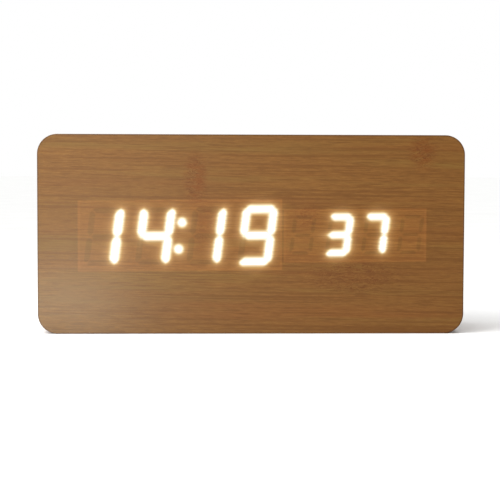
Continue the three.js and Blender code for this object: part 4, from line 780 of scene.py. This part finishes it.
# Pan head 5.2 mm across and 1.3 mm high on a shank 2.8 mm thick with a tapered point.
HEAD, HEAD_TALL, SHANK, SHANK_LONG, POINT_LONG = 2.6, 1.3, 1.4, 9.2, 0.8
screw = begin("pan_head_screw", bpy.ops.mesh.primitive_cylinder_add, vertices=48, radius=HEAD * MM,
              depth=HEAD_TALL * MM, location=(0, (COVER_FACE - HEAD_TALL / 2) * MM, 0), rotation=ALONG_Y)
choose(screw, "polygons", lambda m, n: n.y < -0.99)
bpy.ops.mesh.inset(thickness=(HEAD - SHANK) * MM)
for long in (SHANK_LONG, POINT_LONG):
    bpy.ops.mesh.extrude_region_move(TRANSFORM_OT_translate={"value": (0, -long * MM, 0)})
bpy.ops.transform.resize(value=(0.43, 1, 0.43))
ease(screw, 0.55, at_y(COVER_FACE), steps=5)
# Cross recess 0.85 mm deep, with arms 0.75 mm wide that narrow towards the bottom.
for half_x, half_z in ((1.55, 0.375), (0.375, 1.55)):
    arm = block("arm", (-half_x, COVER_FACE - 0.85, -half_z), (half_x, COVER_FACE + 0.2, half_z))
    choose(arm, "polygons", lambda m, n: n.y < -0.99)
    bpy.ops.transform.resize(value=(0.6, 1, 0.6))
    cut(screw, arm)

for number in range(1, 5):
    node = f"cover_screw_{number}"
    low, high = (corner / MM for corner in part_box(node))
    place = ((low.x + high.x) / 2, 0, (low.z + high.z) / 2)
    hand_over(laid(screw, f"pan_head_screw_{number}", place), "clock_body", "screw_steel", node,
              materials=[nickel])
bpy.data.objects.remove(screw)


# ---------------------------------------------------------------- battery cells

# A cell 44.5 mm long: a sleeve that laps both ends, a nub on one and a flat steel disc in the other.
CELL_RADIUS, SLEEVE_LONG, NUB_END = 5.17, 43.5, 22.25
SILVER_FROM = 12.5                # where the sleeve's silver band begins
cell = begin("dry_cell", bpy.ops.mesh.primitive_cylinder_add, vertices=64, radius=CELL_RADIUS * MM,
             depth=SLEEVE_LONG * MM, location=(-0.5 * MM, 0, 0), rotation=ALONG_X)
for end, rings in ((1, ((0.75, -0.35), (0.9, 0.20), (1.62, 1.15))), (-1, ((0.7, 0.30), (0.6, -0.20)))):
    choose(cell, "polygons", lambda m, n: n.x * end > 0.99)
    for inset, rise in rings:
        bpy.ops.mesh.inset(thickness=inset * MM)
        bpy.ops.mesh.extrude_region_move(TRANSFORM_OT_translate={"value": (rise * MM, 0, 0)})
ease(cell, 0.45, lambda a, b: math.hypot(a.y, a.z) > CELL_RADIUS - 0.07 and near(a.x, b.x), steps=4)
ease(cell, 0.25, lambda a, b: a.x > NUB_END - 0.05 and near(a.x, b.x), steps=3)
choose(cell, "polygons", lambda m, n: math.hypot(n.y, n.z) > 0.99)
bpy.ops.mesh.bisect(plane_co=(SILVER_FROM * MM, 0, 0), plane_no=(1, 0, 0))
only(cell)
for made in (cell_sleeve, pale_sleeve, nickel):
    cell.data.materials.append(made)
for face in cell.data.polygons:
    middle = face.center / MM
    if abs(middle.x) > 21.1 and math.hypot(middle.y, middle.z) < 4.35:
        face.material_index = 2
    elif middle.x > SILVER_FROM:
        face.material_index = 1

for number in range(1, 5):
    node = f"battery_cell_{number}"
    low, high = (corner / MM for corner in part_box(node))
    # The cells lie turn about, with the first one's nub to the right.
    turned = laid(cell, f"dry_cell_{number}", (low + high) / 2, 0 if number % 2 else math.pi)
    hand_over(turned, "clock_body", "cell_sleeve", node)
bpy.data.objects.remove(cell)


# ---------------------------------------------------------------- what stays as it is

finishes = {
    "bamboo_veneer": veneer, "wood_block": bamboo_block,
    "cover_plastic": grained_abs, "button_plastic": smooth_abs,
    "screw_steel": nickel, "contact_steel": nickel, "brass": brass,
    "module_plastic": module_plastic, "module_epoxy": module_epoxy,
    "circuit_board": circuit_board, "dark_resin": dark_resin, "cell_sleeve": cell_sleeve,
    "red_insulation": red_wire, "black_insulation": black_wire, "ribbon_insulation": ribbon_wire}
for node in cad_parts.values():
    for held in node.material_slots:
        slot = held.material.name.split(".")[0] if held.material else None
        held.material = finishes.get(slot, held.material)
